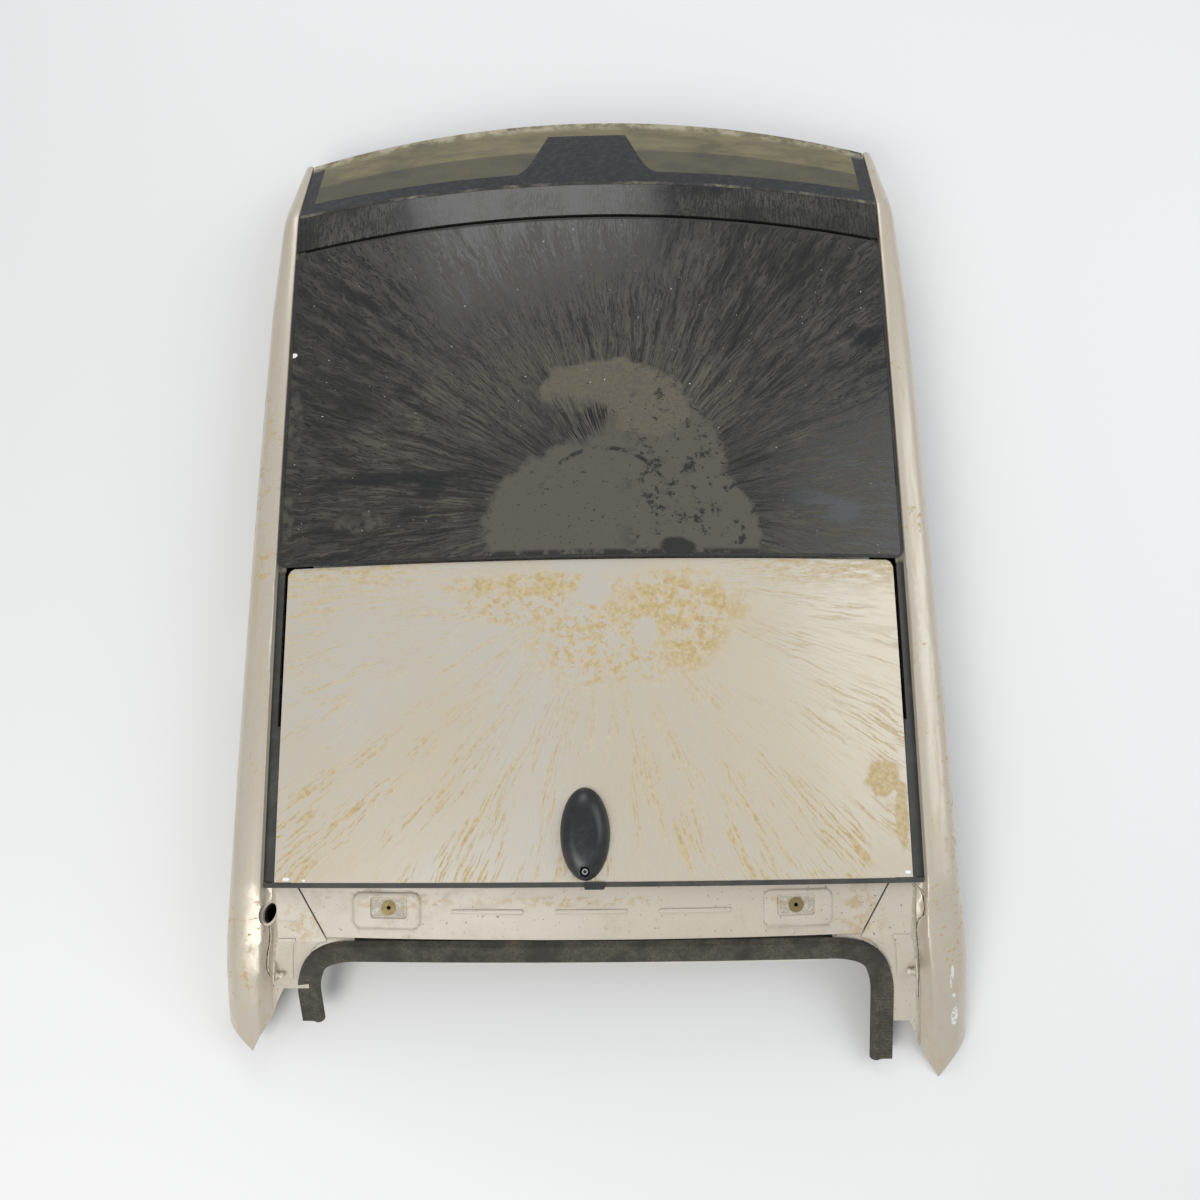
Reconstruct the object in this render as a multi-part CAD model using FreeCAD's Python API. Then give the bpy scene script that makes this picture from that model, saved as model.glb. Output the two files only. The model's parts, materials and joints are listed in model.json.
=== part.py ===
import FreeCAD
import Part
import math
import os

# Roof section of a small hatchback, sawn off the car, with a tilting and sliding glass sunroof.
# Roof frame while modelling: X right, Y towards the front of the car, Z up, height 0 at the crown
# of the roof, Y 0 at the rear edge of the sunroof glass. Everything is moved at the end so that
# the origin is under the middle of the part, on the surface it rests on.

V = FreeCAD.Vector

# Roof surface
roof_cross_radius = 3500.0
roof_length_radius = 15000.0
crown_y = 50.0
rest_depth = 225.0          # height of the crown above the surface the part rests on
corridor_half = 565.0       # centre line to the inner edge of the painted side rail

# Sheet metal and clearances
sheet = 1.2
running = 0.4               # between pieces that slide
pin_clearance = 0.05        # radial, on hinge pins

# Sunroof glass, measured over its rubber rim
glass_thickness = 4.0
glass_half = 562.0
glass_front_side = 628.0
glass_front_mid = 667.0
glass_corner = 9.0
rim_width = 5.0
rim_drop = 0.6              # top of the rim below the glass surface
rim_skirt = 8.5             # lower edge of the rim at the sides, below the roof surface
skirt_width = 6.0

# Painted roof skin behind the glass
skin_gap = 3.0              # between the glass rim and the skin
skin_drop = 6.0             # skin below the roof surface, so that the glass passes over it
skin_half = 543.0
skin_rear = -550.0
skin_corner = 14.0
skin_flange = 12.0
beam_width = 32.0           # cross member under the front edge of the skin
beam_depth = 13.0
bow_y = -270.0
bow_width = 60.0
bow_depth = 15.0
mastic = 1.8

# Front panel, seam and windscreen
panel_gap = 6.0             # glass to front panel
seam_side = 711.0
seam_mid = 741.0
seam_width = 6.0
windscreen_slope = 24.0
windscreen_thickness = 5.0
cut_side = 873.0
cut_mid = 936.0
adhesive_depth = 5.0
adhesive_width = 12.0
panel_tape_width = 14.0
front_seal_height = 4.5
front_seal_width = 12.0
header_lip = 22.0           # front header reaches this far under the glass
header_box = 20.0
header_box_depth = 25.0

# Side rail section, measured from its inner top edge
ledge_depth = 16.0          # roof ditch below the roof surface
ledge_inner = 552.0
moulding_inner = 551.0
moulding_height = 5.0
rail_rise = 3.0
rail_depth = 96.0
stub_depth = 91.0           # depth of the windscreen pillar stub where it is sawn
half_width_front = 588.0
half_width_mid = 618.0
half_width_rear = 634.0
wide_from = 330.0           # behind this station the body side only widens slowly
pillar_bend = 24.0          # half length of the bend from roof to windscreen pillar
rail_end = -545.0           # from here the rail turns into the rear pillar
door_pillar_front = -60.0
door_pillar_rear = -190.0
door_pillar_drop = 54.0

# Rear header and rear pillar stubs
header_rear = -648.0
header_half_front = 512.0
header_half_rear = 455.0
header_depth = 22.0         # front edge of the header below the roof surface
header_tilt = 8.0           # degrees it falls towards the rear
header_flange = 18.0
inner_header_drop = 30.0
inner_header_half = 440.0
inner_header_rear = -690.0
strip_width = 8.0
strip_height = 8.0
insert_spacing = 688.0
insert_y = -596.0
insert_bore = 6.8
insert_body = 18.0
insert_flange = 25.0
insert_flange_height = 1.5
insert_length = 18.0
pad_inner = 290.0
pad_outer = 405.0
pad_front = -571.0
pad_rear = -632.0
pad_height = 2.5
pad_corner = 12.0
recess_length = 63.0
recess_width = 35.0
recess_corner = 5.0
rib_length = 120.0
rib_width = 6.0
rib_pitch = 174.0
rib_y = -601.0
aperture_corner = 42.0      # corner of the tailgate opening, along the car
aperture_reach = 35.0       # and across it
channel_flange = 14.0
channel_slope = 0.55
tip_right = -904.0
saw_right = ((548, -798), (569, -843), (608, -904), (659, -819), (700, -751))
saw_left = ((540, -733), (572, -787), (609, -848), (649, -793), (690, -735))
hole_x = 557.0              # oval hole in the left corner
hole_y = -603.0
hole_half = (10.8, 17.7)
ring_wall = 3.6
ring_height = 12.0

# Gas strut brackets and ball studs
bracket_front = -645.0
bracket_rear = -716.0
bracket_width = 49.0
bracket_sheet = 2.0
ball_x = 537.0
ball_y = -708.0
ball_z = -105.5
ball_radius = 5.0
stud_neck_radius = 3.2
stud_base_radius = 5.6
stud_room = 0.4
stud_base_length = 3.0
stud_neck_length = 7.0

# Tailgate seal
seal_y = -674.0
bulb_radius = 10.0
carrier_length = 16.0
carrier_half = 7.0
seal_end_left = V(-490, -792, -182)
seal_end_right = V(494, -865, -205)

# Antenna base
antenna_x = -8.0
antenna_length = 150.0
antenna_width = 82.0
antenna_height = 25.0
antenna_rear = -547.0
antenna_gasket_height = 1.5
boss_radius = 12.0
boss_y = -533.0
boss_height = 17.0
boss_bore = 7.8
boss_bore_depth = 9.0
stud_radius = 5.0
mast_thread = 4.2
cable_hole = 8.0
tab_width = 34.0
tab_length = 14.0
tab_height = 4.0

# Guide rails and sliding mechanism
slide_rise = 0.012          # rise of the guide rails towards the rear, mm per mm
slide_travel = 330.0         # of the glass
guide_front = 625.0
guide_rear = -500.0
guide_top = -76.0           # height of the rail's top at its rear end
guide_height = 24.0
guide_wall = 3.0
guide_lip = 2.5
guide_outer = 562.0
guide_web = 541.0           # outer face of the wall between the two tracks
guide_inner = 516.0
shade_slot_top = 2.5
shade_slot_bottom = 13.5
lip_reach = 18.0            # shade lips, inwards from the web
outer_lip = 9.0
bracket_inner = 544.0
plate = 2.5
arm_gap = 0.5
bracket_flange = 12.0
bracket_lift = 4.0          # lower edge of the bracket above the guide rail
pin_radius = 3.0
pin_drop = 11.0             # pins below the top of the guide rail
hinge_y = 596.0             # tilt hinge of the glass
slide_length = 44.0
cheek = 2.2
slide_slot = 6.6
slide_floor = 3.4
lift_arm_y = 96.0           # lower pivot of the lift arm
lift_arm_length = 60.0
lift_arm_eye = 5.6
lift_slot_length = 24.0
lift_slot_width = 9.2
lift_slot_rise = 1.2        # slot centre above the pin at rest
lift_slot_back = 8.0        # slot centre behind the pin at rest
bracket_rear_y = 60.0
bracket_eye = 5.8
hanger_count = 5
hanger_size = 7.0

# Cassette frame
frame_top = 38.0
frame_bottom = 58.0
frame_wall = 2.0
rear_frame_top = 23.0
rear_frame_bottom = 47.0
rear_frame_width = 20.0
tear_front = -80.0
tear_rear = -176.0
tear_lean = 10.0
spigot_radius = 5.0
spigot_bore = 3.5
spigot_length = 22.0
spigot_collar = 2.5
spigot_inset = 14.0

# Sunshade
shade_half = 514.0
shade_rear = 20.0
shade_front = 588.0
shade_thickness = 3.0
shade_drop = 9.0            # lower face of the shade's edge below the top of the guide rail
runner_height = 10.0
handle_width = 90.0
handle_depth = 18.0
handle_height = 8.0

# Wind deflector
deflector_y = 530.0
deflector_lift = 6.0        # pivots above the guide rail
deflector_x = 534.0
deflector_back = 45.0       # rear face of the bar behind the front edge of the glass
deflector_bar = 12.0
deflector_drop = 20.0       # top of the bar below the roof surface
deflector_eye = 5.0
deflector_plate = 3.0
post_width = 4.0

# Drive
motor_y = 660.0
motor_radius = 19.0
motor_length = 84.0
gear_length = 70.0
gear_width = 54.0
gear_height = 20.0
gear_corner = 10.0
pinion_pitch_radius = 8.0
pinion_teeth = 12
pinion_tooth = 1.6
pinion_height = 9.0
pinion_gap = 0.4            # pinion above the floor of the front frame
shaft_radius = 3.0
cable_radius = 3.0
cable_gap = 0.9
cable_overrun = 260.0
screw_radius = 2.5
screw_head = 4.5
screw_length = 16.0


def guide_z(y):
    # height of the top of the guide rails
    return guide_top - slide_rise * (y - guide_rear)


def roof_z(x, y, depth=0.0):
    # height of the roof surface, or of a surface that lies deeper
    r = roof_cross_radius - depth
    across = math.sqrt(r * r - x * x) - roof_cross_radius
    along = roof_length_radius + across
    return math.sqrt(along * along - (y - crown_y) ** 2) - roof_length_radius


def line(a, b):
    return Part.LineSegment(a, b).toShape()


def arc(a, b, c):
    return Part.Arc(a, b, c).toShape()


def polygon(points):
    return Part.makePolygon(list(points) + [points[0]])


def box(x0, x1, y0, y1, z0, z1):
    size = (abs(x1 - x0), abs(y1 - y0), abs(z1 - z0))
    return Part.makeBox(*size, V(min(x0, x1), min(y0, y1), min(z0, z1)))


def cylinder(start, axis, radius, length):
    return Part.makeCylinder(radius, length, start, axis)


def mirrored(shape):
    return shape.mirror(V(0, 0, 0), V(1, 0, 0))


def vertical_edges(solid, keep=lambda y: True):
    found = []
    for edge in solid.Edges:
        a = edge.Vertexes[0].Point
        b = edge.Vertexes[-1].Point
        if abs(a.x - b.x) < 1e-6 and abs(a.y - b.y) < 1e-6 and abs(a.z - b.z) > 1 and keep(a.y):
            found.append(edge)
    return found


def crown_shell(top, bottom, y0, y1, half):
    # solid between two depths below the roof surface: a crowned band turned about a far axis
    def across(depth):
        z = roof_z(half, crown_y, depth)
        return (V(-half, crown_y, z), V(0, crown_y, -depth), V(half, crown_y, z))
    a, b, c = across(top)
    d, e, f = across(bottom)
    face = Part.Face(Part.Wire([arc(a, b, c), line(c, f), arc(f, e, d), line(d, a)]))
    centre = V(0, crown_y, -roof_length_radius)

    def angle(y):
        return math.degrees(math.asin((crown_y - y) / roof_length_radius))
    face.rotate(centre, V(1, 0, 0), angle(y1))
    return face.revolve(centre, V(1, 0, 0), angle(y0) - angle(y1))


def bowed_prism(half, rear_side, rear_mid, front_side, front_mid, z0=-320.0, z1=60.0):
    # upright prism whose front and rear edges are arcs, straight where side and middle agree
    def edge(side, mid, sign):
        a = V(-sign * half, side, z0)
        b = V(sign * half, side, z0)
        return line(a, b) if side == mid else arc(a, V(0, mid, z0), b)
    rear = edge(rear_side, rear_mid, 1)
    front = edge(front_side, front_mid, -1)
    right = line(V(half, rear_side, z0), V(half, front_side, z0))
    left = line(V(-half, front_side, z0), V(-half, rear_side, z0))
    return Part.Face(Part.Wire([rear, right, front, left])).extrude(V(0, 0, z1 - z0))


def roof_panel(plan, top, bottom):
    # part of the roof between two depths, inside an upright prism
    box_ = plan.BoundBox
    half = max(abs(box_.XMin), abs(box_.XMax)) + 15
    return crown_shell(top, bottom, box_.YMin - 15, box_.YMax + 15, half).common(plan)


def offset_points(points, distance):
    # the same outline moved sideways, in the plane of its two coordinates
    moved = []
    for i, (u, w) in enumerate(points):
        before = points[max(i - 1, 0)]
        after = points[min(i + 1, len(points) - 1)]
        if i in (0, len(points) - 1):
            du, dw = after[0] - before[0], after[1] - before[1]
            size = math.hypot(du, dw)
            moved.append((u - dw / size * distance, w + du / size * distance))
            continue
        a = (u - before[0], w - before[1])
        b = (after[0] - u, after[1] - w)
        la, lb = math.hypot(*a), math.hypot(*b)
        na = (-a[1] / la, a[0] / la)
        nb = (-b[1] / lb, b[0] / lb)
        scale = distance / (1 + na[0] * nb[0] + na[1] * nb[1])
        moved.append((u + (na[0] + nb[0]) * scale, w + (na[1] + nb[1]) * scale))
    return moved


def spline(points):
    # smooth curve drawn by its control points, so that it never swings outside them
    curve = Part.BSplineCurve()
    curve.buildFromPoles(points, False, 3)
    return curve.toShape()


def sheet_wire(y, points, straight, thickness):
    # closed section of a bent sheet at station y: straight folds, then one smooth sweep
    inside = offset_points(points, -thickness)
    outer = [V(x, y, z) for x, z in points]
    inner = [V(x, y, z) for x, z in inside]
    edges = [line(outer[i], outer[i + 1]) for i in range(straight)]
    edges.append(spline(outer[straight:]))
    edges.append(line(outer[-1], inner[-1]))
    edges.append(spline(inner[straight:][::-1]))
    edges += [line(inner[i + 1], inner[i]) for i in reversed(range(straight))]
    edges.append(line(inner[0], outer[0]))
    return Part.Wire(edges)


def rounded_path(points):
    # straight runs joined by tangent arcs, each as large as its two runs allow
    edges = []
    start = points[0]
    for before, corner, after in zip(points, points[1:], points[2:]):
        back = (before - corner)
        ahead = (after - corner)
        run = 0.45 * min(back.Length, ahead.Length)
        back.normalize()
        ahead.normalize()
        turn = math.pi - back.getAngle(ahead)
        radius = run / math.tan(turn / 2)
        middle = back + ahead
        middle.normalize()
        centre_gap = math.hypot(run, radius)
        entry = corner + back * run
        leave = corner + ahead * run
        edges.append(line(start, entry))
        edges.append(arc(entry, corner + middle * (centre_gap - radius), leave))
        start = leave
    edges.append(line(start, points[-1]))
    return Part.Wire(edges)


def tube(points, radius):
    path = rounded_path(points)
    direction = points[1] - points[0]
    ring = Part.Wire(Part.makeCircle(radius, points[0], direction))
    return path.makePipeShell([ring], True, False)


def side_top(y):
    # height of the rail's inner top edge: the roof line, bent gently down along the windscreen
    fall = math.tan(math.radians(windscreen_slope))
    past = min(max(y - seam_side + pillar_bend, 0.0), 2 * pillar_bend)
    bend = past * past / (4 * pillar_bend) + max(y - seam_side - pillar_bend, 0.0)
    roof = roof_z(corridor_half, min(y, seam_side - pillar_bend))
    return roof - fall * bend


def rail_half(y):
    # outer half width of the body side, narrower at the windscreen pillar
    if y > wide_from:
        share = (y - wide_from) / (cut_side - wide_from)
        return half_width_mid - (half_width_mid - half_width_front) * share ** 2
    share = (wide_from - y) / (wide_from - header_rear)
    return half_width_mid + (half_width_rear - half_width_mid) * share


def rail_section(y):
    # painted side rail: ditch, inner edge, rounded outer surface, door flange
    top = side_top(y)
    out = rail_half(y)
    width = out - corridor_half
    blend = min(1.0, max(0.0, (y - seam_side) / (cut_side - seam_side)))
    low = rail_depth + (stub_depth - rail_depth) * blend
    return [
        (ledge_inner, top - ledge_depth),
        (corridor_half, top - ledge_depth),
        (corridor_half, top),
        (corridor_half + 0.12 * width, top + rail_rise),
        (out - 0.4 * width, top + 1),
        (out - 0.1 * width, top - 16),
        (out + 2, top - 46),
        (out, top - 72),
        (out - 10, top - low),
    ]


def stub_section(y):
    # rear pillar stub, from the end of the rail to the sawn tip
    share = max(0.0, (header_rear - y) / (header_rear - tip_right))
    ridge_x = corridor_half + 9 + 34 * share
    ridge_z = -86 - (rest_depth - 86) * share ** 1.25
    out = half_width_rear + 6 + 20 * share
    return [
        (ridge_x - 19 - 8 * share, ridge_z - 19),
        (ridge_x - 9, ridge_z - 10),
        (ridge_x - 7, ridge_z - 1),
        (ridge_x, ridge_z + 1),
        (ridge_x + 30, ridge_z + 1),
        (out - 4, ridge_z - 14),
        (out + 6, ridge_z - 48),
        (out + 14, ridge_z - 84),
        (out + 22, ridge_z - 122),
    ]


def side_section(y):
    # the rail runs into the stub over the last stretch beside the header
    share = min(1.0, max(0.0, (rail_end - y) / (rail_end - header_rear)))
    share = share * share * (3 - 2 * share)
    if share == 0.0:
        return rail_section(y)
    if share == 1.0:
        return stub_section(y)
    pairs = zip(rail_section(y), stub_section(y))
    return [(a[0] + (b[0] - a[0]) * share, a[1] + (b[1] - a[1]) * share) for a, b in pairs]


def side_panel():
    # body side, one pressing from windscreen pillar to rear pillar, sawn at both ends
    bend_front = seam_side + pillar_bend
    bend_rear = seam_side - pillar_bend
    stations = [cut_side, (cut_side + bend_front) / 2]
    stations += [bend_front - 2 * pillar_bend * i / 4 for i in range(5)]
    stations += [bend_rear + (rail_end - bend_rear) * i / 7 for i in range(1, 8)]
    stations += [rail_end + (header_rear - rail_end) * i / 4 for i in range(1, 5)]
    past_tip = tip_right - 30
    stations += [header_rear + (past_tip - header_rear) * i / 5 for i in range(1, 6)]
    wires = [sheet_wire(y, side_section(y), 2, sheet) for y in stations]
    panel = Part.makeLoft(wires, True, True)
    return panel.cut(box(400, 800, past_tip - 50, cut_side + 50, -600, -rest_depth))


def torn_strip():
    # sheet torn loose along the outer edge beside the sunroof, bent outwards
    def section(y):
        out = rail_half(y)
        top = side_top(y)
        lean = 1.5 + tear_lean * math.sin(math.pi * (y - tear_rear) / (tear_front - tear_rear))
        return [(out - 1.2, top - 69), (out + 0.4 * lean, top - 80), (out + lean, top - 96)]
    stations = [tear_front + (tear_rear - tear_front) * i / 6 for i in range(7)]
    return sheet_loft(stations, section)


def saw_prism(route):
    # everything behind the line that the saw took round a rear pillar
    far = 150.0
    points = [(300.0, route[0][1])] + list(route) + [(850.0, route[-1][1])]
    points += [(850.0, tip_right - far), (300.0, tip_right - far)]
    return Part.Face(polygon([V(x, y, -600) for x, y in points])).extrude(V(0, 0, 700))


def sheet_loft(stations, section, thickness=sheet):
    # folded sheet whose section changes along the car
    wires = []
    for y in stations:
        outer = section(y)
        inner = offset_points(outer, -thickness)
        wires.append(polygon([V(x, y, z) for x, z in outer + inner[::-1]]))
    return Part.makeLoft(wires, True, True)


def upright_oval(x, y, half_x, half_y, z0, z1):
    turned = half_y > half_x
    long_half, short_half = max(half_x, half_y), min(half_x, half_y)
    oval = Part.Ellipse(V(0, 0, 0), long_half, short_half).toShape()
    solid = Part.Face(Part.Wire([oval])).extrude(V(0, 0, z1 - z0))
    if turned:
        solid.rotate(V(0, 0, 0), V(0, 0, 1), 90)
    solid.translate(V(x, y, z0))
    return solid


def rounded_box(x0, x1, y0, y1, z0, z1, radius):
    block = box(x0, x1, y0, y1, z0, z1)
    return block.makeFillet(radius, vertical_edges(block))


def tilted(shape):
    # the rear header falls towards the rear, turned about its front edge
    shape = shape.copy()
    shape.rotate(V(0, skin_rear, roof_z(0, skin_rear, header_depth)), V(1, 0, 0), header_tilt)
    return shape


def header_z(x, y):
    # height of the tilted header surface
    pivot = roof_z(0, skin_rear, header_depth)
    lean = math.radians(header_tilt)
    rise = roof_z(x, y, header_depth) - pivot
    return pivot + rise * math.cos(lean) + (y - skin_rear) * math.sin(lean)


shapes = {}


def add(name, shape):
    shapes[name] = shape


def add_pair(name, right):
    add(name + "_right", right)
    add(name + "_left", mirrored(right))


def glass_and_rim():
    rear_glass = rim_width
    inner = bowed_prism(glass_half - rim_width, rear_glass, rear_glass,
                        glass_front_side - rim_width, glass_front_mid - rim_width)
    inner = inner.makeFillet(glass_corner, vertical_edges(inner))
    outer = bowed_prism(glass_half, 0, 0, glass_front_side, glass_front_mid)
    outer = outer.makeFillet(glass_corner + rim_width, vertical_edges(outer))
    add("sunroof_glass", roof_panel(inner, 0, glass_thickness))
    rim = roof_panel(outer.cut(inner), rim_drop, rim_drop + glass_thickness)
    skirt = bowed_prism(glass_half, 20, 20, hinge_y - 10, hinge_y - 10)
    skirt = skirt.cut(bowed_prism(glass_half - skirt_width, 0, 0, hinge_y, hinge_y))
    skirt = roof_panel(skirt, glass_thickness, rim_skirt)
    add("glass_rim", rim.fuse(skirt).removeSplitter())


def roof_skin():
    front = -skin_gap
    plans = []
    for inset in (0.0, sheet):
        rear = skin_rear - 20 * inset
        plan = bowed_prism(skin_half - inset, rear, rear, front - inset, front - inset)
        edges = vertical_edges(plan, lambda y: y > rear + 1)
        plans.append(plan.makeFillet(skin_corner - inset, edges))
    skin = roof_panel(plans[0], skin_drop, skin_drop + skin_flange)
    skin = skin.cut(roof_panel(plans[1], skin_drop + sheet, skin_drop + skin_flange + 5))
    skin = skin.cut(cylinder(V(antenna_x, antenna_rear + antenna_length / 2, -100), V(0, 0, 1), cable_hole, 200))
    add("roof_skin", skin)
    under = skin_drop + sheet
    front_edge = front - sheet
    beam = bowed_prism(skin_half - sheet - skin_corner, front_edge - beam_width, front_edge - beam_width,
                       front_edge, front_edge)
    hollow = bowed_prism(skin_half, front_edge - beam_width + sheet, front_edge - beam_width + sheet,
                         front_edge - sheet, front_edge - sheet)
    beam = roof_panel(beam, under, under + beam_depth)
    add("skin_front_beam", beam.cut(roof_panel(hollow, under - 1, under + beam_depth - sheet)))
    bow_half = skin_half - sheet - 4
    bow = bowed_prism(bow_half, bow_y - bow_width / 2, bow_y - bow_width / 2, bow_y + bow_width / 2,
                      bow_y + bow_width / 2)
    inner = bowed_prism(bow_half + 20, bow_y - bow_width / 2 + sheet, bow_y - bow_width / 2 + sheet,
                        bow_y + bow_width / 2 - sheet, bow_y + bow_width / 2 - sheet)
    bow_top = under + mastic
    bow = roof_panel(bow, bow_top, bow_top + bow_depth)
    add("roof_bow", bow.cut(roof_panel(inner, bow_top + sheet, bow_top + bow_depth + 1)))
    pads = []
    for i in range(-2, 3):
        pad = cylinder(V(i * 210, bow_y, -200), V(0, 0, 1), 14, 300)
        pads.append(roof_panel(pad, under + 0.2, bow_top) if i == 0 else
                    crown_shell(under + 0.2, bow_top, bow_y - 30, bow_y + 30, 560).common(pad))
    add("bow_mastic", Part.makeCompound(pads))


def windscreen_shell(top, bottom):
    # single-curved sheet falling forwards from the seam, between two upright depths
    fall = math.tan(math.radians(windscreen_slope))
    middle = roof_z(0, seam_mid)
    sag = middle + fall * (seam_mid - seam_side) - roof_z(corridor_half, seam_side)
    y0 = seam_side - 60
    half = corridor_half + 15
    drop = sag * (half / corridor_half) ** 2
    start = middle + fall * (seam_mid - y0)
    points = []
    for depth in (top, bottom):
        points.append([V(-half, y0, start - drop - depth), V(0, y0, start - depth), V(half, y0, start - drop - depth)])
    (a, b, c), (d, e, f) = points
    face = Part.Face(Part.Wire([arc(a, b, c), line(c, f), arc(f, e, d), line(d, a)]))
    run = cut_mid + 60 - y0
    return face.extrude(V(0, run, -fall * run))


def band(half, start, end, side=seam_side, mid=seam_mid):
    # upright strip that follows a bowed line, between two distances from it
    return bowed_prism(half, side + start, mid + start, side + end, mid + end)


def windscreen_area():
    gap = seam_width / 2
    half = glass_half
    plan = bowed_prism(half, seam_side + gap, seam_mid + gap, cut_side, cut_mid)
    add("windscreen", windscreen_shell(0, windscreen_thickness).common(plan))
    under = windscreen_thickness
    bead_start = gap + 4
    bead = windscreen_shell(under, under + adhesive_depth).common(
        band(ledge_inner - 2, bead_start, bead_start + adhesive_width))
    beads = [bead]
    for sign in (-1, 1):
        side = box(sign * (ledge_inner + 1), sign * (half - 1), seam_side + 30, cut_side - 2, -300, 100)
        beads.append(windscreen_shell(under, ledge_depth - 0.5).common(side))
    add("windscreen_adhesive", Part.makeCompound(beads))
    moulding = roof_panel(band(half, -gap, gap), -0.5, 3.5)
    add("windscreen_moulding", moulding)


def front_panel_area():
    gap = seam_width / 2
    plan = bowed_prism(glass_half, glass_front_side + panel_gap, glass_front_mid + panel_gap,
                       seam_side - gap, seam_mid - gap)
    add("front_panel", roof_panel(plan, 0, glass_thickness))
    glass_line = (glass_front_side, glass_front_mid)
    half = ledge_inner - 1
    tapes = [roof_panel(band(half - 4, panel_gap + 2, panel_gap + 2 + panel_tape_width, *glass_line),
                        glass_thickness, ledge_depth),
             roof_panel(band(half - 4, -gap - 4 - panel_tape_width, -gap - 4), glass_thickness, ledge_depth)]
    add("front_panel_tape", Part.makeCompound(tapes))
    rear = (glass_front_side - header_lip, glass_front_mid - header_lip)
    top = roof_panel(bowed_prism(half, *rear, seam_side + gap, seam_mid + gap), ledge_depth, ledge_depth + sheet)
    bed = windscreen_thickness + adhesive_depth
    step = roof_panel(band(half, gap - sheet, gap), bed, ledge_depth + sheet)
    bed_plan = band(half, gap - sheet, gap + 4 + adhesive_width + 6)
    bed = windscreen_shell(bed, bed + sheet).common(bed_plan)
    add("front_header", top.fuse([step, bed]).removeSplitter())
    seal = roof_panel(band(half - 2, -header_lip + 2, -header_lip + 2 + front_seal_width, *glass_line),
                      ledge_depth - front_seal_height, ledge_depth)
    add("front_seal", seal)
    roof = ledge_depth + sheet
    box_rear = -gap - header_box
    outer = roof_panel(band(half, box_rear, -gap), roof, roof + header_box_depth)
    hollow = roof_panel(band(half + 10, box_rear + sheet, -gap - sheet), roof - 1, roof + header_box_depth - sheet)
    add("front_header_inner", outer.cut(hollow))
    front_side = seam_side + box_rear
    front_mid = seam_mid + box_rear
    tray = roof_panel(bowed_prism(guide_outer, guide_front, guide_front, front_side, front_mid),
                      frame_top, frame_bottom)
    cut = bowed_prism(guide_outer - frame_wall, guide_front + frame_wall, guide_front + frame_wall,
                      front_side - frame_wall, front_mid - frame_wall)
    tray = tray.cut(roof_panel(cut, frame_top - 5, frame_bottom - frame_wall))
    return tray.cut(band(half, box_rear, 60))


def spigots(tray):
    # drain tubes under the corners of the two frame members
    holes = []
    tubes = []
    for sign in (-1, 1):
        for y, depth in ((guide_front + spigot_inset, frame_bottom),
                         (guide_rear - rear_frame_width / 2, rear_frame_bottom)):
            x = sign * (guide_outer - spigot_inset)
            z = roof_z(x, y, depth)
            holes.append(cylinder(V(x, y, z - 10), V(0, 0, 1), spigot_bore, 25))
            pipe = cylinder(V(x, y, z - spigot_length), V(0, 0, 1), spigot_radius, spigot_length)
            collar = cylinder(V(x, y, z - spigot_collar), V(0, 0, 1), spigot_radius + 3, spigot_collar + 5)
            pipe = pipe.fuse(collar).removeSplitter()
            pipe = pipe.cut(cylinder(V(x, y, z - spigot_length - 1), V(0, 0, 1), spigot_bore, spigot_length + 10))
            tubes.append(pipe.cut(crown_shell(0, depth, y - 20, y + 20, guide_outer + 10)))
    add("drain_spigots", Part.makeCompound(tubes))
    add("front_frame", tray.cut(holes[0].fuse(holes[1:])))
    rear = bowed_prism(guide_outer, guide_rear - rear_frame_width, guide_rear - rear_frame_width,
                       guide_rear, guide_rear)
    inner = bowed_prism(guide_outer - frame_wall, guide_rear - rear_frame_width + frame_wall,
                        guide_rear - rear_frame_width + frame_wall, guide_rear - frame_wall,
                        guide_rear - frame_wall)
    beam = roof_panel(rear, rear_frame_top, rear_frame_bottom)
    beam = beam.cut(roof_panel(inner, rear_frame_top - 5, rear_frame_bottom - frame_wall))
    add("rear_frame", beam.cut(holes[0].fuse(holes[1:])))


def guide_rail():
    web = guide_web - guide_wall
    lip = web - lip_reach
    low = -guide_height
    floor = low + guide_wall
    outline = [
        (guide_outer, 0), (guide_outer, low), (guide_inner, low), (guide_inner, floor),
        (web, floor), (web, -shade_slot_bottom - guide_lip), (lip, -shade_slot_bottom - guide_lip),
        (lip, -shade_slot_bottom), (web, -shade_slot_bottom), (web, -shade_slot_top),
        (lip, -shade_slot_top), (lip, 0), (guide_web, 0), (guide_web, floor),
        (guide_outer - guide_wall, floor), (guide_outer - guide_wall, -guide_lip),
        (guide_outer - outer_lip, -guide_lip), (guide_outer - outer_lip, 0),
    ]
    base = guide_z(guide_front)
    face = Part.Face(polygon([V(x, guide_front, base + w) for x, w in outline]))
    run = guide_front - guide_rear
    return face.extrude(V(0, -run, run * slide_rise))


def along_guide(outline, y_front, y_rear):
    # block of constant section that lies along the guide rail
    base = guide_z(y_front)
    face = Part.Face(polygon([V(x, y_front, base + w) for x, w in outline]))
    run = y_front - y_rear
    return face.extrude(V(0, -run, run * slide_rise))


def pin_point(y, x=0.0):
    return V(x, y, guide_z(y) - pin_drop)


def slide_block(y):
    inner = guide_web + running
    outer = guide_outer - guide_wall - running
    low = -guide_height + guide_wall + running
    top = -guide_lip - running
    slot = inner + cheek
    block = along_guide([(inner, top), (inner, low), (outer, low), (outer, top)],
                        y + slide_length / 2, y - slide_length / 2)
    gap = along_guide([(slot, 5), (slot, low + slide_floor), (slot + slide_slot, low + slide_floor),
                       (slot + slide_slot, 5)], y + slide_length, y - slide_length)
    bore = cylinder(pin_point(y, inner - 5), V(1, 0, 0), pin_radius, 40)
    return block.cut(gap).cut(bore)


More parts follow.
